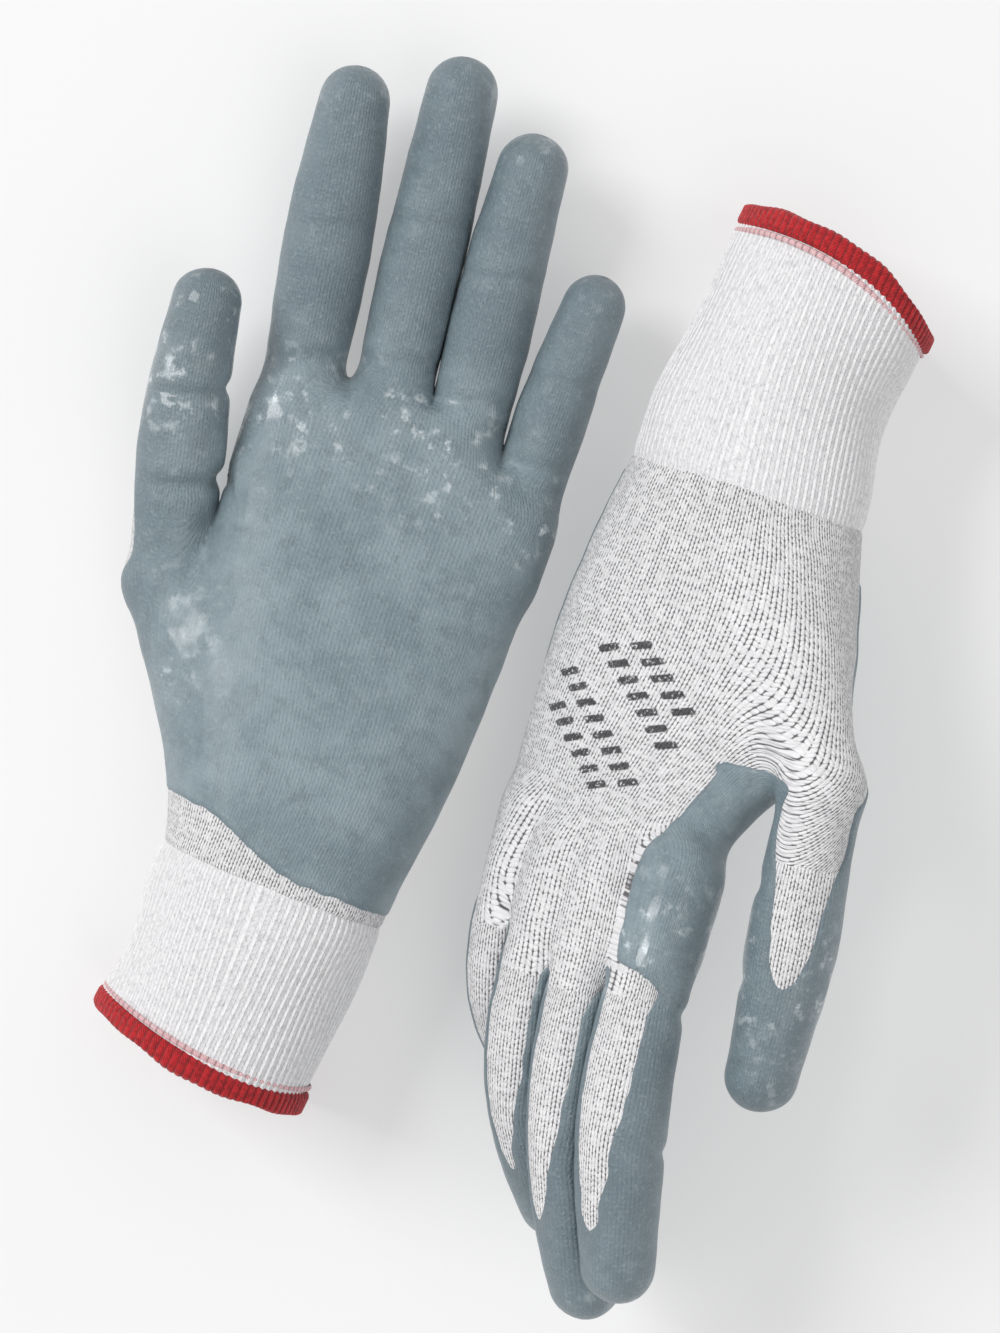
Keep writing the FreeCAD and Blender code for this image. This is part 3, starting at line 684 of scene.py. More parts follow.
def skin_pieces(form):
    """The glove's knitted and dipped skins, cut at the crotches and between the knuckles."""
    glove = form.glove
    points, outward = draw_surface(form)
    points = relaxed(points, outward, NET_ROUNDS)
    normals = normals_of(points, outward)
    facts = Facts(form, points)
    shaped = points + normals * folds(facts, points)[:, None]
    dip = facts.dip()
    coat_rise = -SINK + (COAT_RISE + SINK) * smooth(dip, *COAT_EDGE)
    coat = shaped + normals * coat_rise[:, None]
    knit = shaped - normals * (SINK * smooth(dip, *KNIT_EDGE))[:, None]
    digit_of_face = np.where(facts.on_digit[outward].mean(axis=1) > 0.5,
                             facts.nearest[outward[:, 0]], -1)
    columns = np.where((digit_of_face < 0)[:, None, None],
                       face_columns(outward, *facts.knit_on_hand(), WALES_ROUND_HAND),
                       face_columns(outward, *facts.knit_on_digit(), WALES_ROUND_DIGIT))
    marked = ~facts.on_digit & (normals[:, 2] <= 0) & (glove.side == MARKED_SIDE)
    kept_values = {
        "mark": np.where(marked, mark_depth(form, points), -FAR_OFF),
        "gloss_and_glint": gloss_and_glint_patches(form, facts, points),
        "edge": dip,
        # painted shade: how far out on the digits the rubber is painted darker
        "digit": smooth(facts.palm, *DIGIT_SHADE_RUN),
    }
    faces = outward
    if glove.mirrored:
        faces = faces[:, ::-1]
        columns = columns[:, ::-1]

    far_face = facts.past_middle[faces].mean(axis=1) > 0
    kinds = (
        ("coating", "nitrile_coating", coat, dip[faces].max(axis=1) > -OVERLAP),
        ("liner", "knit_liner", knit, dip[faces].min(axis=1) < OVERLAP),
    )
    for kind, slot, surface, shown in kinds:
        whole = normals_of(surface, outward)
        for part in ("palm",) + DIGITS + tuple(f"{d}_tip" for d in DIGITS):
            if part == "palm":
                chosen = shown & (digit_of_face < 0)
            else:
                digit = part.removesuffix("_tip")
                chosen = shown & (digit_of_face == DIGITS.index(digit))
                chosen &= far_face == part.endswith("_tip")
            node = f"{glove.side}_{part}_{kind}"
            used, local = np.unique(faces[chosen], return_inverse=True)
            piece = make_mesh(f"{node}_skin", glove.to_row(surface[used]), local.reshape(-1, 4),
                              columns[chosen], MATERIALS[slot], whole[used] @ glove.axes)
            keep_rest(piece, points[used])
            for label, values in kept_values.items():
                layer = piece.data.attributes.new(label, "FLOAT", "POINT")
                layer.data.foreach_set("value", values[used].astype(np.float32))
            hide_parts(node)
            move_with(piece, glove, part)


# Patches of real gloss, which also carry painted highlights (glints)
ROOTS_GLOSS_AND_GLINT = (-8.0, 15.0)    # place past the palm's end, and reach along the hand
MUSCLE_GLOSS_AND_GLINT = ((-44.0, 12.0), (42.0, 18.0))      # place and reach across, and along
TIPS_GLOSS_AND_GLINT = (-14.0, -3.0)    # from how far before the tip
GLOSS_AND_GLINT_SHARES = (0.7, 0.35)    # of the muscle and the tips, against the roots


def gloss_and_glint_patches(form, facts, points):
    """Where the dip dried glossy, with painted highlights (glints) on it: about the fingers' roots,
    the thumb's muscle and the tips.
    """
    x, y = points[:, 0], points[:, 1]
    place, reach = ROOTS_GLOSS_AND_GLINT
    roots = np.exp(-((y - form.end(x) - place) / reach) ** 2)
    (across, width), (along, length) = MUSCLE_GLOSS_AND_GLINT
    muscle = np.exp(-(((x - across) / width) ** 2 + ((y - along) / length) ** 2))
    tips = smooth(-facts.from_tip, *TIPS_GLOSS_AND_GLINT)
    return np.clip(roots + GLOSS_AND_GLINT_SHARES[0] * muscle + GLOSS_AND_GLINT_SHARES[1] * tips, 0.0, 1.0)


def move_with(piece, glove, part):
    """Attach a palm piece to the hand. A digit's piece only has its transform baked in: the run it
    would bend over between two bodies is worked out but not used.
    """
    if part == "palm":
        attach(piece, glove.body)
        return
    digit = part.removesuffix("_tip")
    if part == digit:
        pivot = glove.near[digit]
        line = unit(glove.run(digit) + glove.root_run(digit))
        ends = pivot + SEAMS[digit] * line, pivot + BEND_ENDS[digit] * line
    else:
        pivot = glove.far[digit]
        line = unit(glove.run(digit) + glove.tip_run(digit))
        ends = pivot - BLEND_REACH * line, pivot + BLEND_REACH * line
    start, end = (tuple(glove.to_row(place) * MM) for place in ends)
    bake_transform(piece)


SWELLS = ((0.35, 38.0, 1), (0.12, 11.0, 2))     # height, length and seed
CREASES = ((0.0, 1.0, 2.2), (1.0, 0.7, 2.0))    # share of the near length, depth, half width
THUMB_CREASES = 1.7         # the thumb's are this much deeper
CREASE_BOW = 1.2            # a crease bows this far along the digit as it goes round
CREASE_SIDE = (-0.2, 0.6)   # how far round it goes, as the cosine of the angle from the palm side
CREASE_START = -14.0        # none lies further down than this
OFF_PALM = (-2.0, 2.0)      # creases fade over this run where a digit meets the palm


def folds(facts, points):
    """How far the skin stands in or out: soft swells, and folds on the palm side of knuckles."""
    glove = facts.form.glove
    height = sum(size * ripple(points, length, seed) for size, length, seed in SWELLS)
    palm_side = smooth(np.cos(facts.angle), *CREASE_SIDE) * smooth(facts.palm, *OFF_PALM)
    for number, digit in enumerate(DIGITS):
        mine = (facts.nearest == number) & (facts.past_near > CREASE_START)
        length = np.linalg.norm(glove.far[digit] - glove.near[digit])
        for share, depth, width in CREASES:
            depth = depth * (THUMB_CREASES if digit == "thumb" else 1.0)
            bowed = facts.along - share * length - CREASE_BOW * np.sin(facts.angle * 1.5)
            crease = depth * np.exp(-(bowed / width) ** 2)
            height -= np.where(mine, crease * palm_side, 0.0)
    return height


# ---------------------------------------------------------------- cuff, binding and threads

CUFF_TOP = ((7.0, -1.0), (0.0, 0.0))    # the hand's sections it starts from, and how much wider
CUFF_OVER = 0.7             # the cuff's outside, beyond its rounds of elastic
WALL = 2.4                  # thickness of the doubled rib
TUBE_STEP = 0.9             # length of one row of its faces
TUBE_ROWS_SHORT = 8         # its inside ends this many rows short of its top
FOLD_REACH = 0.3            # how far its fold at the hem stands out lengthwise
RIB_HEIGHT = 0.13
RIB_START = (6.0, 12.0)     # the ribs rise over this run
TUCK = 0.6                  # the rib's top lies this far in, under the hand's skin
TUCK_END = (8.0, 13.0)      # and comes out over this run
SLACK = (0.5, 0.35)         # heights of the two slow swells of the loose rib
SLACK_START = (8.0, 20.0)
BINDING_BULK = 0.9          # the binding stands this far off the cuff
BINDING_REACH = 4.5         # length of cuff that the binding covers
BINDING_FOLD = 0.35         # share of the binding's width, each side, that turns round the edge
STITCHES = 86               # of overlock, round the hem
STITCH_HEIGHT = 0.38
STITCH_LEAN = 0.55          # how far one leans, as it goes over the edge
TAPER = (0.86, 1.0)         # the binding's rims turn in over these shares of its half width
THREAD_HALF = 0.65          # half the needle thread's width
THREAD_RISE = 0.55          # how far it stands up
THREAD_GAP = 0.9            # from the binding to the thread's middle
ELASTIC_ROUNDS = 6
ELASTIC_HALF_RUN = 15.0     # the rounds lie this far each way from their middle
ELASTIC_RADIUS = 0.5        # of the yarn
ELASTIC_SECTION = 9         # points round the yarn
ELASTIC_STEPS = 160         # and along one round
CUFF_SHIFT = {"left": (0.0, 0.0), "right": (5.0, 5.0)}      # across: at the elastic, at the hem
HEM_WIDTH = {"left": 0.92, "right": 0.84}   # the hem is drawn in to this share of its width
HEM_RUN = {"left": 0.5, "right": 3.0}   # the hem lies this much further down
HEM_BOW = {"left": 3.0, "right": 6.5}   # the hem's upper side runs on this much further
BOW_RUN = 24.0              # over this length of cuff
BOW_LEVEL = 0.4             # and its lower side this share of that less


class Cuff:
    """The cuff as a tube through four ovals, from under the hand's skin down to the hem."""

    def __init__(self, form):
        glove = form.glove
        self.glove = glove
        ovals = []
        for station, over in CUFF_TOP:
            across, width, depth, height = form.section(station)
            c, s = math.cos(glove.twist), math.sin(glove.twist)
            middle = np.array([across * c - height * s, station, height * c + across * s])
            ovals.append((middle, np.array([c, 0, s]) * (width + over),
                          np.array([-s, 0, c]) * (depth + over)))
        at_elastic, at_hem = CUFF_SHIFT[glove.side]
        ovals.append(self.oval_of(f"{glove.side}_cuff_elastic", CUFF_OVER, at_elastic))
        middle, wide, deep = self.oval_of(f"{glove.side}_hem_binding", -BINDING_BULK, at_hem)
        ovals.append((middle, wide * HEM_WIDTH[glove.side], deep))
        upright = glove.axes[:, 2]
        self.bow = HEM_BOW[glove.side]
        self.facing = unit(wide) @ upright, unit(deep) @ upright
        middles = np.array([oval[0] for oval in ovals])
        steps = np.linalg.norm(np.diff(middles, axis=0), axis=1)
        self.places = np.concatenate([[0.0], np.cumsum(steps)])
        # The binding's middle lies half its reach above the very end of the cuff.
        binding = (BINDING_REACH - BINDING_BULK) / 2
        self.length = self.places[-1] + binding + HEM_RUN[glove.side]
        self.curves = [spline(self.places, np.array([oval[n] for oval in ovals])) for n in range(3)]
        self.end_run = unit(middles[-1] - middles[-2])

    def oval_of(self, node, over, shift):
        """Middle and the two half axes of a node that lies in an oval ring."""
        points = self.glove.to_hand(points_of(node))
        points[:, 0] += shift
        middle = points.mean(0)
        spread = np.linalg.eigh(np.cov((points - middle).T))[1]
        halves = []
        for axis, towards in ((spread[:, 2], 0), (spread[:, 1], 2)):
            axis = axis * np.sign(axis[towards])
            reach = np.abs((points - middle) @ axis).max() + over
            halves.append(axis * reach)
        return middle, halves[0], halves[1]

    def surface(self, down, turn):
        """Points of the cuff's outside: down its length from the top, and round it."""
        facing = np.maximum(np.cos(turn) * self.facing[0] + np.sin(turn) * self.facing[1], 0.0)
        near_hem = smooth(down, self.length - BOW_RUN, self.length)
        down = down + self.bow * (facing ** 2 - BOW_LEVEL) * near_hem
        beyond = np.maximum(down - self.places[-1], 0.0)[..., None]
        middle = self.curves[0](down) + beyond * self.end_run
        rounder = smooth(down, self.places[1], self.length)
        square = 2.0 / (2.0 + (SQUARENESS - 2.0) * (1.0 - rounder))
        c = np.sign(np.cos(turn)) * np.abs(np.cos(turn)) ** square
        s = np.sign(np.sin(turn)) * np.abs(np.sin(turn)) ** square
        return middle + self.curves[1](down) * c[..., None] + self.curves[2](down) * s[..., None]

    def offset(self, down, turn, out):
        """Points standing out from the cuff's outside."""
        step = 0.02
        here = self.surface(down, turn)
        one = self.surface(down, turn + step) - self.surface(down, turn - step)
        two = self.surface(down + step, turn) - self.surface(down - step, turn)
        normal = np.cross(one, two)
        normal /= np.linalg.norm(normal, axis=-1, keepdims=True)
        normal *= np.sign((normal * (here - self.curves[0](down))).sum(-1, keepdims=True))
        return here + normal * np.asarray(out)[..., None]


def grid_faces(rows, columns):
    """Square faces of a sheet of rows by columns that closes round."""
    row, column = np.meshgrid(np.arange(rows - 1), np.arange(columns), indexing="ij")
    here = row * columns + column
    beside = row * columns + (column + 1) % columns
    return np.stack([here, beside, beside + columns, here + columns], axis=-1).reshape(-1, 4)


ROUND_NODES = {             # the node that each of the cuff's slots belongs to
    "rib_cuff": "cuff_rib",
    "hem_binding": "hem_binding",
    "hem_thread": "hem_thread",
    "elastic_yarn": "cuff_elastic",
}


def round_piece(cuff, ending, points, row, turns, slot):
    """A piece from a grid of points (rows, columns, 3) that closes round the cuff."""
    glove = cuff.glove
    rows, columns = points.shape[:2]
    faces = grid_faces(rows, columns)
    column = np.tile(np.arange(columns) / columns * turns, rows)
    marks = face_columns(faces, column, np.repeat(row, columns), turns)
    if not glove.mirrored:
        faces = faces[:, ::-1]
        marks = marks[:, ::-1]
    flat = points.reshape(-1, 3)
    node = ROUND_NODES[slot]
    piece = make_mesh(f"{glove.side}_{node}_{ending}", glove.to_row(flat), faces, marks,
                      MATERIALS[slot])
    keep_rest(piece, flat)
    finish_piece(piece, glove, slot)


def finish_piece(piece, glove, slot):
    """Hide the node that a piece of the cuff stands for, and attach the piece to the hand: all of
    the cuff rides on the hand.
    """
    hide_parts(f"{glove.side}_{ROUND_NODES[slot]}")
    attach(piece, glove.body)


def round_cuff(down, count):
    """Grids of places down the cuff and of this many turns round it."""
    return np.meshgrid(down, np.arange(count) / count * TURN, indexing="ij")


def rib_tube(cuff):
    """The doubled rib: down its outside, round the hem's fold and up again inside."""
    outside = np.arange(0.0, cuff.length, TUBE_STEP)
    fold = np.linspace(0.0, math.pi, 5)
    inside = outside[::-1][:-TUBE_ROWS_SHORT]
    edge = cuff.length - FOLD_REACH * (1.0 - np.sin(fold))
    down = np.concatenate([outside, edge, inside])
    depth = np.concatenate([np.zeros(len(outside)), WALL / 2 * (1 - np.cos(fold)),
                            np.full(len(inside), WALL)])[:, None]
    place, turn = round_cuff(down, RIBS * 6)
    slack = SLACK[0] * np.sin(2 * turn + place / 9.0) * np.sin(place / cuff.length * math.pi)
    slack += SLACK[1] * np.sin(3 * turn - place / 6.0 + 1.0)
    slack *= smooth(place, *SLACK_START)
    outwards = 1.0 - 2.0 * depth / WALL
    ribs = RIB_HEIGHT * np.cos(RIBS * turn) * outwards * smooth(place, *RIB_START)
    tuck = TUCK * (1.0 - smooth(place, *TUCK_END))
    points = cuff.offset(place, turn, slack + ribs - tuck - depth)
    row = np.cumsum(np.abs(np.gradient(down))) / COURSE
    round_piece(cuff, "knit", points, row, RIBS, "rib_cuff")


def binding(cuff):
    """Overlocked binding: a bead over the hem, ridged by its stitches."""
    path = np.linspace(0.0, 1.0, 21)
    around = (path - 0.5) * 2
    up = np.maximum(np.abs(around) - BINDING_FOLD, 0.0) / (1 - BINDING_FOLD) * BINDING_REACH
    angle = np.clip(around / BINDING_FOLD, -1, 1) * math.pi / 2
    edge = cuff.length - up + BINDING_BULK * np.cos(angle)
    taper = smooth(np.abs(around), *TAPER) * BINDING_BULK * 1.3
    out = -WALL / 2 - (WALL / 2 + BINDING_BULK) * np.sin(angle) + np.sign(around) * taper
    place, turn = round_cuff(edge, STITCHES * 8)
    phase = turn * STITCHES / 2 + STITCH_LEAN * around[:, None]
    stitch = STITCH_HEIGHT * (np.abs(np.sin(phase)) ** 0.7 - 0.5)
    wave = 0.3 * np.sin(5 * turn) + 0.2 * np.sin(11 * turn + 1.0)
    lengthwise, outwards = np.cos(angle)[:, None], np.sin(angle)[:, None]
    points = cuff.offset(place + (stitch + wave) * lengthwise, turn,
                         out[:, None] - stitch * outwards)
    round_piece(cuff, "stitches", points, path * 8, STITCHES, "hem_binding")


def needle_thread(cuff):
    """A thin line of stitches above the binding."""
    across = np.linspace(-1.0, 1.0, 7)
    middle = cuff.length - BINDING_REACH - THREAD_GAP
    place, turn = round_cuff(middle + THREAD_HALF * across, STITCHES * 8)
    ridge = THREAD_RISE * np.sqrt(np.maximum(1 - across ** 2, 0))[:, None]
    dashes = 0.65 + 0.35 * np.abs(np.sin(turn * STITCHES / 2))
    points = cuff.offset(place, turn, ridge * dashes + 0.05)
    round_piece(cuff, "stitches", points, across, STITCHES, "hem_thread")


def elastic(cuff):
    """Elastic yarn: rounds that show a little on the inside of the cuff."""
    middle = cuff.places[2]
    section = np.linspace(0.0, TURN, ELASTIC_SECTION)
    rounds = []
    for station in np.linspace(middle - ELASTIC_HALF_RUN, middle + ELASTIC_HALF_RUN, ELASTIC_ROUNDS):
        place, turn = round_cuff(station + ELASTIC_RADIUS * np.cos(section), ELASTIC_STEPS)
        height = -WALL + 0.2 + ELASTIC_RADIUS * np.sin(section)[:, None]
        rounds.append(cuff.offset(place, turn, height).reshape(-1, 3))
    ring = grid_faces(ELASTIC_SECTION, ELASTIC_STEPS)
    faces = np.concatenate([ring + n * len(rounds[0]) for n in range(ELASTIC_ROUNDS)])
    piece = make_mesh(f"{cuff.glove.side}_cuff_elastic_yarn",
                      cuff.glove.to_row(np.concatenate(rounds)), faces, None,
                      MATERIALS["elastic_yarn"])
    finish_piece(piece, cuff.glove, "elastic_yarn")


# ---------------------------------------------------------------- materials

class Shader:
    """One material on a Principled shader, with short ways to add nodes."""

    def __init__(self, name, **constants):
        self.material = bpy.data.materials.new(name)
        self.material.use_nodes = True
        self.tree = self.material.node_tree
        self.surface = self.tree.nodes["Principled BSDF"]
        for socket, value in constants.items():
            title = socket.replace("_", " ").title().replace("Ior", "IOR")
            self.surface.inputs[title].default_value = value

    def node(self, kind, values=(), **settings):
        made = self.tree.nodes.new(f"ShaderNode{kind}")
        for setting, value in settings.items():
            setattr(made, setting, value)
        for socket, value in dict(values).items():
            if isinstance(value, bpy.types.NodeSocket):
                self.tree.links.new(value, made.inputs[socket])
            else:
                made.inputs[socket].default_value = value
        return made

    def maths(self, operation, *values):
        return self.node("Math", dict(enumerate(values)), operation=operation).outputs[0]

    def times(self, one, two):
        return self.maths("MULTIPLY", one, two)

    def rest(self):
        return self.node("Attribute", attribute_name="rest").outputs["Vector"]

    def value(self, name):
        """A number kept at each point of the mesh."""
        return self.node("Attribute", attribute_name=name).outputs["Fac"]

    def columns(self):
        """The knit's column and row at each point."""
        place = self.node("UVMap", uv_map="knit").outputs[0]
        split = self.node("SeparateXYZ", {0: place})
        return split.outputs[0], split.outputs[1]

    def yarn(self, column, row, across, along):
        """Places that follow the knit, stretched by so much across it and along it."""
        values = {0: self.times(column, across), 1: self.times(row, along)}
        return self.node("CombineXYZ", values).outputs[0]

    def noise(self, scale, detail=2.0, rough=0.5, vector=None):
        values = {"Vector": vector or self.rest(), "Scale": scale, "Detail": detail,
                  "Roughness": rough}
        return self.node("TexNoise", values).outputs[0]

    def step(self, value, low, high, bottom=0.0, top=1.0):
        values = {0: value, 1: low, 2: high, 3: bottom, 4: top}
        return self.node("MapRange", values, interpolation_type="SMOOTHSTEP").outputs[0]

    def mix(self, share, one, two):
        return self.node("Mix", {0: share, 6: one, 7: two}, data_type="RGBA").outputs[2]

    def tint(self, base, where, most, red, green, blue):
        """The base turned towards a colour, by this share at most."""
        return self.mix(self.times(where, most), base, colour(red, green, blue))

    def bump(self, height, distance, before=None):
        values = {"Height": height, "Distance": distance, "Strength": 1.0}
        if before:
            values["Normal"] = before
        return self.node("Bump", values).outputs[0]

    def finish(self, **links):
        for socket, value in links.items():
            self.tree.links.new(value, self.surface.inputs[socket.replace("_", " ").title()])
        return self.material


def colour(red, green, blue):
    return (red, green, blue, 1.0)


def from_middle(shader, column):
    """How far across its column each point is, from 0 in the middle to a half."""
    return shader.maths("ABSOLUTE", shader.maths("SUBTRACT", shader.maths("FRACT", column), 0.5))


def stitches(shader, column, row):
    """Height of plain knitting: V-shaped loops in columns."""
    side = from_middle(shader, column)
    legs = shader.maths("MAXIMUM", shader.maths("SINE", shader.times(side, TURN)), 0.0)
    slanted = shader.maths("ADD", row, shader.times(side, 1.1))
    loops = shader.maths("ABSOLUTE", shader.maths("SINE", shader.times(slanted, math.pi)))
    return shader.times(shader.maths("POWER", legs, 0.6),
                        shader.maths("ADD", shader.times(loops, 0.55), 0.45))


def knit_material():
    """Pale heather yarn, with painted shade in the valleys between its columns and dark
    painted-shade spots in the gaps between the stitches, and the printed mark.
    """
    shader = Shader("knit_liner", roughness=0.88, sheen_weight=0.2, sheen_roughness=0.5)
    column, row = shader.columns()
    height = stitches(shader, column, row)
    yarn = shader.yarn(column, row, 0.9, 1.1)
    base = shader.mix(shader.step(shader.noise(0.30, 3.0, 0.6), 0.35, 0.65),
                      colour(0.84, 0.832, 0.845), colour(0.93, 0.922, 0.935))
    # painted shade: the valleys between the knit's columns are painted grey
    wale_valley_shade = shader.step(from_middle(shader, column), 0.34, 0.5)
    base = shader.tint(base, wale_valley_shade, 0.22, 0.45, 0.445, 0.46)
    heather = shader.step(shader.noise(1.9, 2.0, 0.6, yarn), 0.46, 0.64)
    base = shader.tint(base, heather, 0.22, 0.50, 0.49, 0.51)
    # painted shade: near-black spots painted in the gaps between the loops, where the knit is lowest
    gap = shader.step(height, 0.62, 0.22)
    gap_shadow_spots = shader.step(shader.noise(0.85, 1.0, 0.5, yarn), 0.43, 0.51)
    base = shader.tint(base, shader.times(gap, gap_shadow_spots), 0.92, 0.045, 0.04, 0.045)
    printed = shader.step(shader.value("mark"), -0.15, 0.25)
    broken = shader.step(shader.noise(1.0, 3.0, 0.7), 0.34, 0.46)
    base = shader.tint(base, shader.times(printed, broken), 0.93, 0.022, 0.022, 0.026)
    normal = shader.bump(height, 0.00036)
    normal = shader.bump(shader.noise(9.0, 2.0, 0.7), 0.00008, normal)
    return shader.finish(base_color=base, normal=normal)


def nitrile_material():
    """Cloudy grey-blue rubber that shows the knit under it, with painted shade in the knit's hollows
    and on the digits, glossy in patches, with painted highlights (glints) there.
    """
    shader = Shader("nitrile_coating", coat_roughness=0.10, specular_ior_level=0.55)
    column, row = shader.columns()
    height = stitches(shader, column, row)
    fine = shader.noise(1.1, 4.0, 0.65)
    base = shader.mix(shader.step(shader.noise(0.06, 3.0, 0.6), 0.35, 0.65),
                      colour(0.195, 0.258, 0.292), colour(0.262, 0.334, 0.370))
    # painted shade: the digits' rubber is painted darker than the palm's
    base = shader.tint(base, shader.value("digit"), 0.45, 0.115, 0.155, 0.182)
    cloudy = shader.step(shader.noise(0.22, 3.0, 0.6), 0.45, 0.70)
    base = shader.tint(base, cloudy, 0.40, 0.130, 0.175, 0.200)
    base = shader.tint(base, shader.step(fine, 0.50, 0.72), 0.40, 0.40, 0.46, 0.48)
    # painted shade: the hollows between the stitches under the rubber are painted darker
    base = shader.tint(base, shader.step(height, 0.30, 0.0), 0.30, 0.10, 0.135, 0.155)
    rim = shader.step(shader.value("edge"), 1.6, 0.0)
    base = shader.tint(base, rim, 0.35, 0.12, 0.16, 0.18)
    gloss_and_glint_patch = shader.times(shader.value("gloss_and_glint"), shader.step(shader.noise(0.11, 2.0, 0.6), 0.40, 0.58))
    # painted highlight: near-white glints painted into the glossy patches
    painted_glint = shader.times(gloss_and_glint_patch, shader.step(shader.noise(0.24, 5.0, 0.62), 0.53, 0.68))
    base = shader.tint(base, painted_glint, 0.68, 0.78, 0.85, 0.88)
    rough = shader.maths("SUBTRACT", shader.step(fine, 0.3, 0.7, 0.32, 0.50),
                         shader.times(gloss_and_glint_patch, 0.16))
    gloss = shader.maths("ADD", 0.06, shader.times(gloss_and_glint_patch, 0.70))
    normal = shader.bump(height, 0.00012)
    normal = shader.bump(fine, 0.00038, normal)
    normal = shader.bump(shader.noise(2.6, 2.0, 0.6), 0.00012, normal)
    return shader.finish(base_color=base, roughness=rough, coat_weight=gloss, normal=normal)


def rib_material():
    """The same yarn in ribs, with painted shade that makes their valleys a little darker."""
    shader = Shader("rib_cuff", roughness=0.9, sheen_weight=0.25, sheen_roughness=0.5)
    column, row = shader.columns()
    height = stitches(shader, shader.maths("ADD", column, 0.5), row)
    yarn = shader.yarn(column, row, 1.6, 0.35)
    base = shader.mix(shader.step(shader.noise(1.6, 2.0, 0.6, yarn), 0.45, 0.68),
                      colour(0.90, 0.892, 0.905), colour(0.74, 0.735, 0.75))
    # painted shade: the hollows between the ribs are painted darker
    rib_valley_shade = shader.step(shader.maths("COSINE", shader.times(column, TURN)), 0.0, -1.0)
    base = shader.tint(base, rib_valley_shade, 0.16, 0.50, 0.49, 0.51)
    speck = shader.step(shader.noise(3.1, 1.0, 0.5, yarn), 0.60, 0.70)
    base = shader.tint(base, speck, 0.35, 0.30, 0.26, 0.28)
    normal = shader.bump(height, 0.00025)
    normal = shader.bump(shader.noise(9.0, 2.0, 0.7), 0.00008, normal)
    return shader.finish(base_color=base, normal=normal)


def yarn_material(name, light, dark, twists):
    """Yarn of stitches, with painted shade darkening the hollows between them, and a fine twist
    along it.
    """
    shader = Shader(name, roughness=0.75, sheen_weight=0.2, sheen_roughness=0.4)
    column, row = shader.columns()
    ridge = shader.maths("ABSOLUTE", shader.maths("SINE", shader.times(column, math.pi)))
    tone = shader.step(shader.noise(0.9, 3.0, 0.6), 0.35, 0.7)
    base = shader.mix(tone, colour(*light), colour(*dark))
    # painted shade: the hollows between the stitches are painted darker
    base = shader.tint(base, shader.step(ridge, 0.65, 0.0), 0.75, *(0.35 * c for c in dark))
    turns = shader.maths("ADD", shader.times(row, twists), shader.times(column, 3.0))
    normal = shader.bump(shader.maths("SINE", shader.times(turns, TURN)), 0.00007)
    normal = shader.bump(shader.noise(7.0, 2.0, 0.7), 0.00010, normal)
    return shader.finish(base_color=base, normal=normal)


def elastic_material():
    shader = Shader("elastic_yarn", roughness=0.6)
    base = shader.mix(shader.noise(2.0), colour(0.80, 0.78, 0.74), colour(0.68, 0.66, 0.62))
    return shader.finish(base_color=base, normal=shader.bump(shader.noise(6.0), 0.00005))


def floor_material():
    """Matt near-white paper that glows a little, so that shadows on it stay faint."""
    return Shader("floor", roughness=0.9, base_color=colour(0.58, 0.58, 0.58),
                  emission_color=colour(1.0, 1.0, 1.0), emission_strength=0.33).material


MATERIALS = {
    "knit_liner": knit_material(),
    "nitrile_coating": nitrile_material(),
    "rib_cuff": rib_material(),
    "hem_binding": yarn_material("hem_binding", (0.62, 0.012, 0.018), (0.33, 0.004, 0.009), 2.0),
    "hem_thread": yarn_material("hem_thread", (0.90, 0.62, 0.64), (0.82, 0.48, 0.50), 1.0),
    "elastic_yarn": elastic_material(),
}

for glove in GLOVES.values():
    form = Form(glove)
    skin_pieces(form)
    cuff = Cuff(form)
    for make in (rib_tube, binding, needle_thread, elastic):
        make(cuff)


# ---------------------------------------------------------------- floor, light and camera

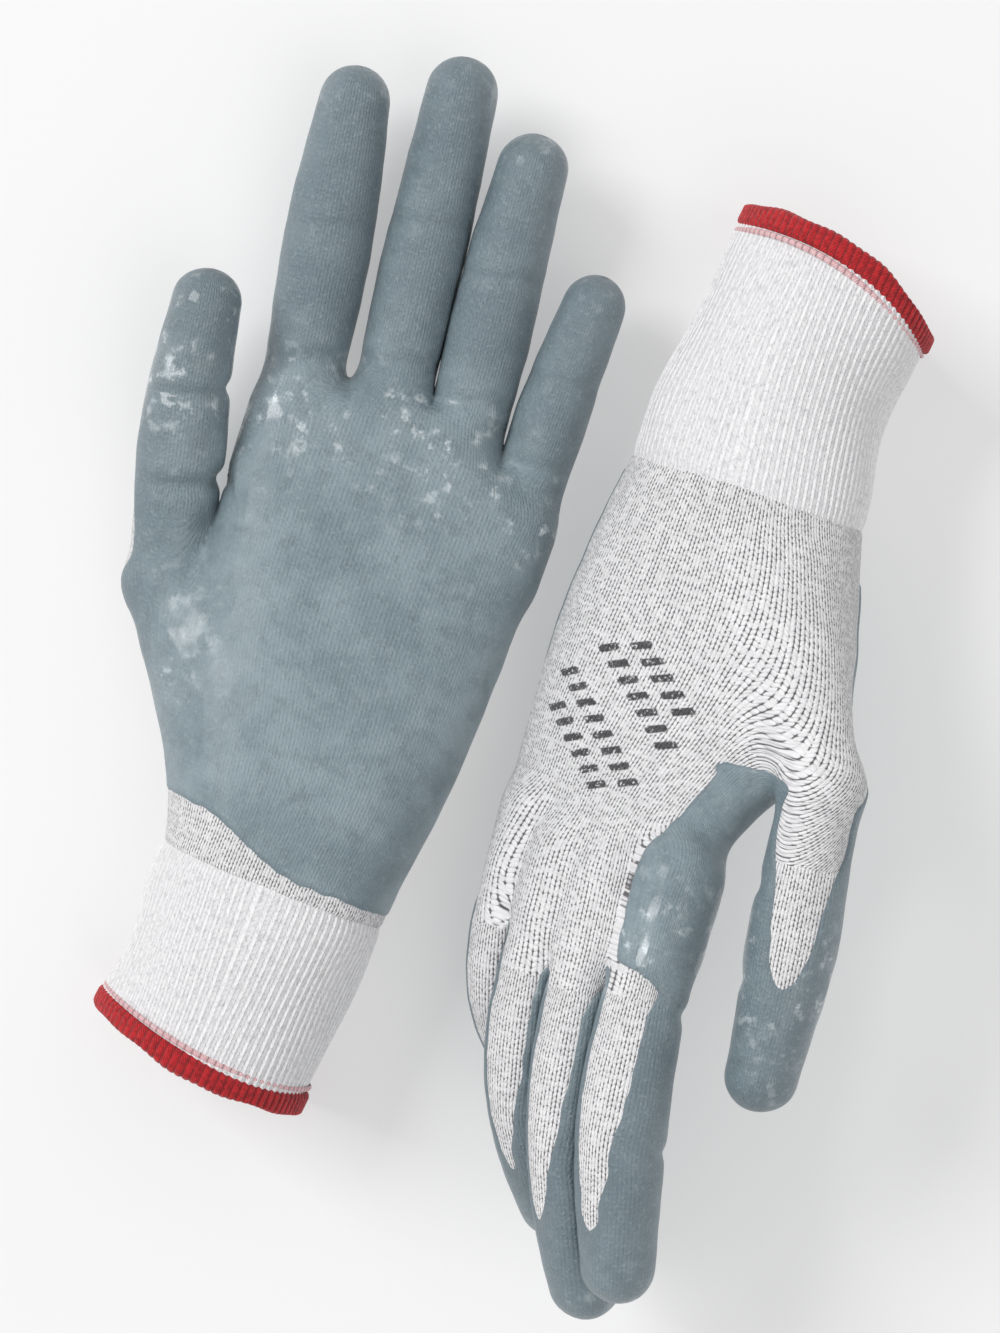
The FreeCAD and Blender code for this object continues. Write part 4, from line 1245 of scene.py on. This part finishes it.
VIEW_TURN = math.radians(22.0)      # the picture's turn about the upright
VIEW_AIM = (0.0027, 0.0018, 0.030)  # middle of the picture, from the pair's middle
VIEW_TALL = 0.320                   # height of what the picture takes in
LENS = 110.0
SENSOR = 36.0
FLOOR_HALF = 9.0                    # so wide that no low view sees past it
LIT = (0.0, 0.0, 0.030)             # what the lights point at
KEY = ((-3.2, 2.0, 3.4), 2.2, 150.0)    # place right, up and out of the picture, size, power
FILL = ((1.6, -1.6, 3.4), 3.0, 28.0)
SKY = 0.55


def add_floor():
    mesh = bpy.data.meshes.new("floor")
    corners = [(x * FLOOR_HALF, y * FLOOR_HALF, 0) for x, y in ((-1, -1), (1, -1), (1, 1), (-1, 1))]
    mesh.from_pydata(corners, [], [(0, 1, 2, 3)])
    floor = bpy.data.objects.new("floor", mesh)
    bpy.context.scene.collection.objects.link(floor)
    mesh.materials.append(floor_material())


def add_light(name, place, size, power):
    """A soft square light, placed as right, up and out of the picture."""
    c, s = math.cos(VIEW_TURN), math.sin(VIEW_TURN)
    right, up, out = place
    light = bpy.data.lights.new(name, "AREA")
    light.shape = "SQUARE"
    light.size = size
    light.energy = power
    lamp = bpy.data.objects.new(name, light)
    lamp.location = (right * c - up * s, right * s + up * c, out)
    lamp.rotation_euler = (Vector(LIT) - lamp.location).to_track_quat("-Z", "Y").to_euler()
    bpy.context.scene.collection.objects.link(lamp)


def add_sky(strength):
    world = bpy.data.worlds.new("studio")
    world.use_nodes = True
    background = world.node_tree.nodes["Background"]
    background.inputs["Color"].default_value = colour(1.0, 1.0, 1.0)
    background.inputs["Strength"].default_value = strength
    bpy.context.scene.world = world


def add_camera():
    data = bpy.data.cameras.new("camera")
    data.lens = LENS
    data.sensor_width = SENSOR
    camera = bpy.data.objects.new("camera", data)
    x, y, z = VIEW_AIM
    camera.location = (x, y, z + LENS / SENSOR * VIEW_TALL)
    camera.rotation_euler = (0.0, 0.0, VIEW_TURN)
    bpy.context.scene.collection.objects.link(camera)
    bpy.context.scene.camera = camera


add_floor()
add_light("key", *KEY)
add_light("fill", *FILL)
add_sky(SKY)
add_camera()
bpy.context.scene.view_settings.view_transform = "Standard"
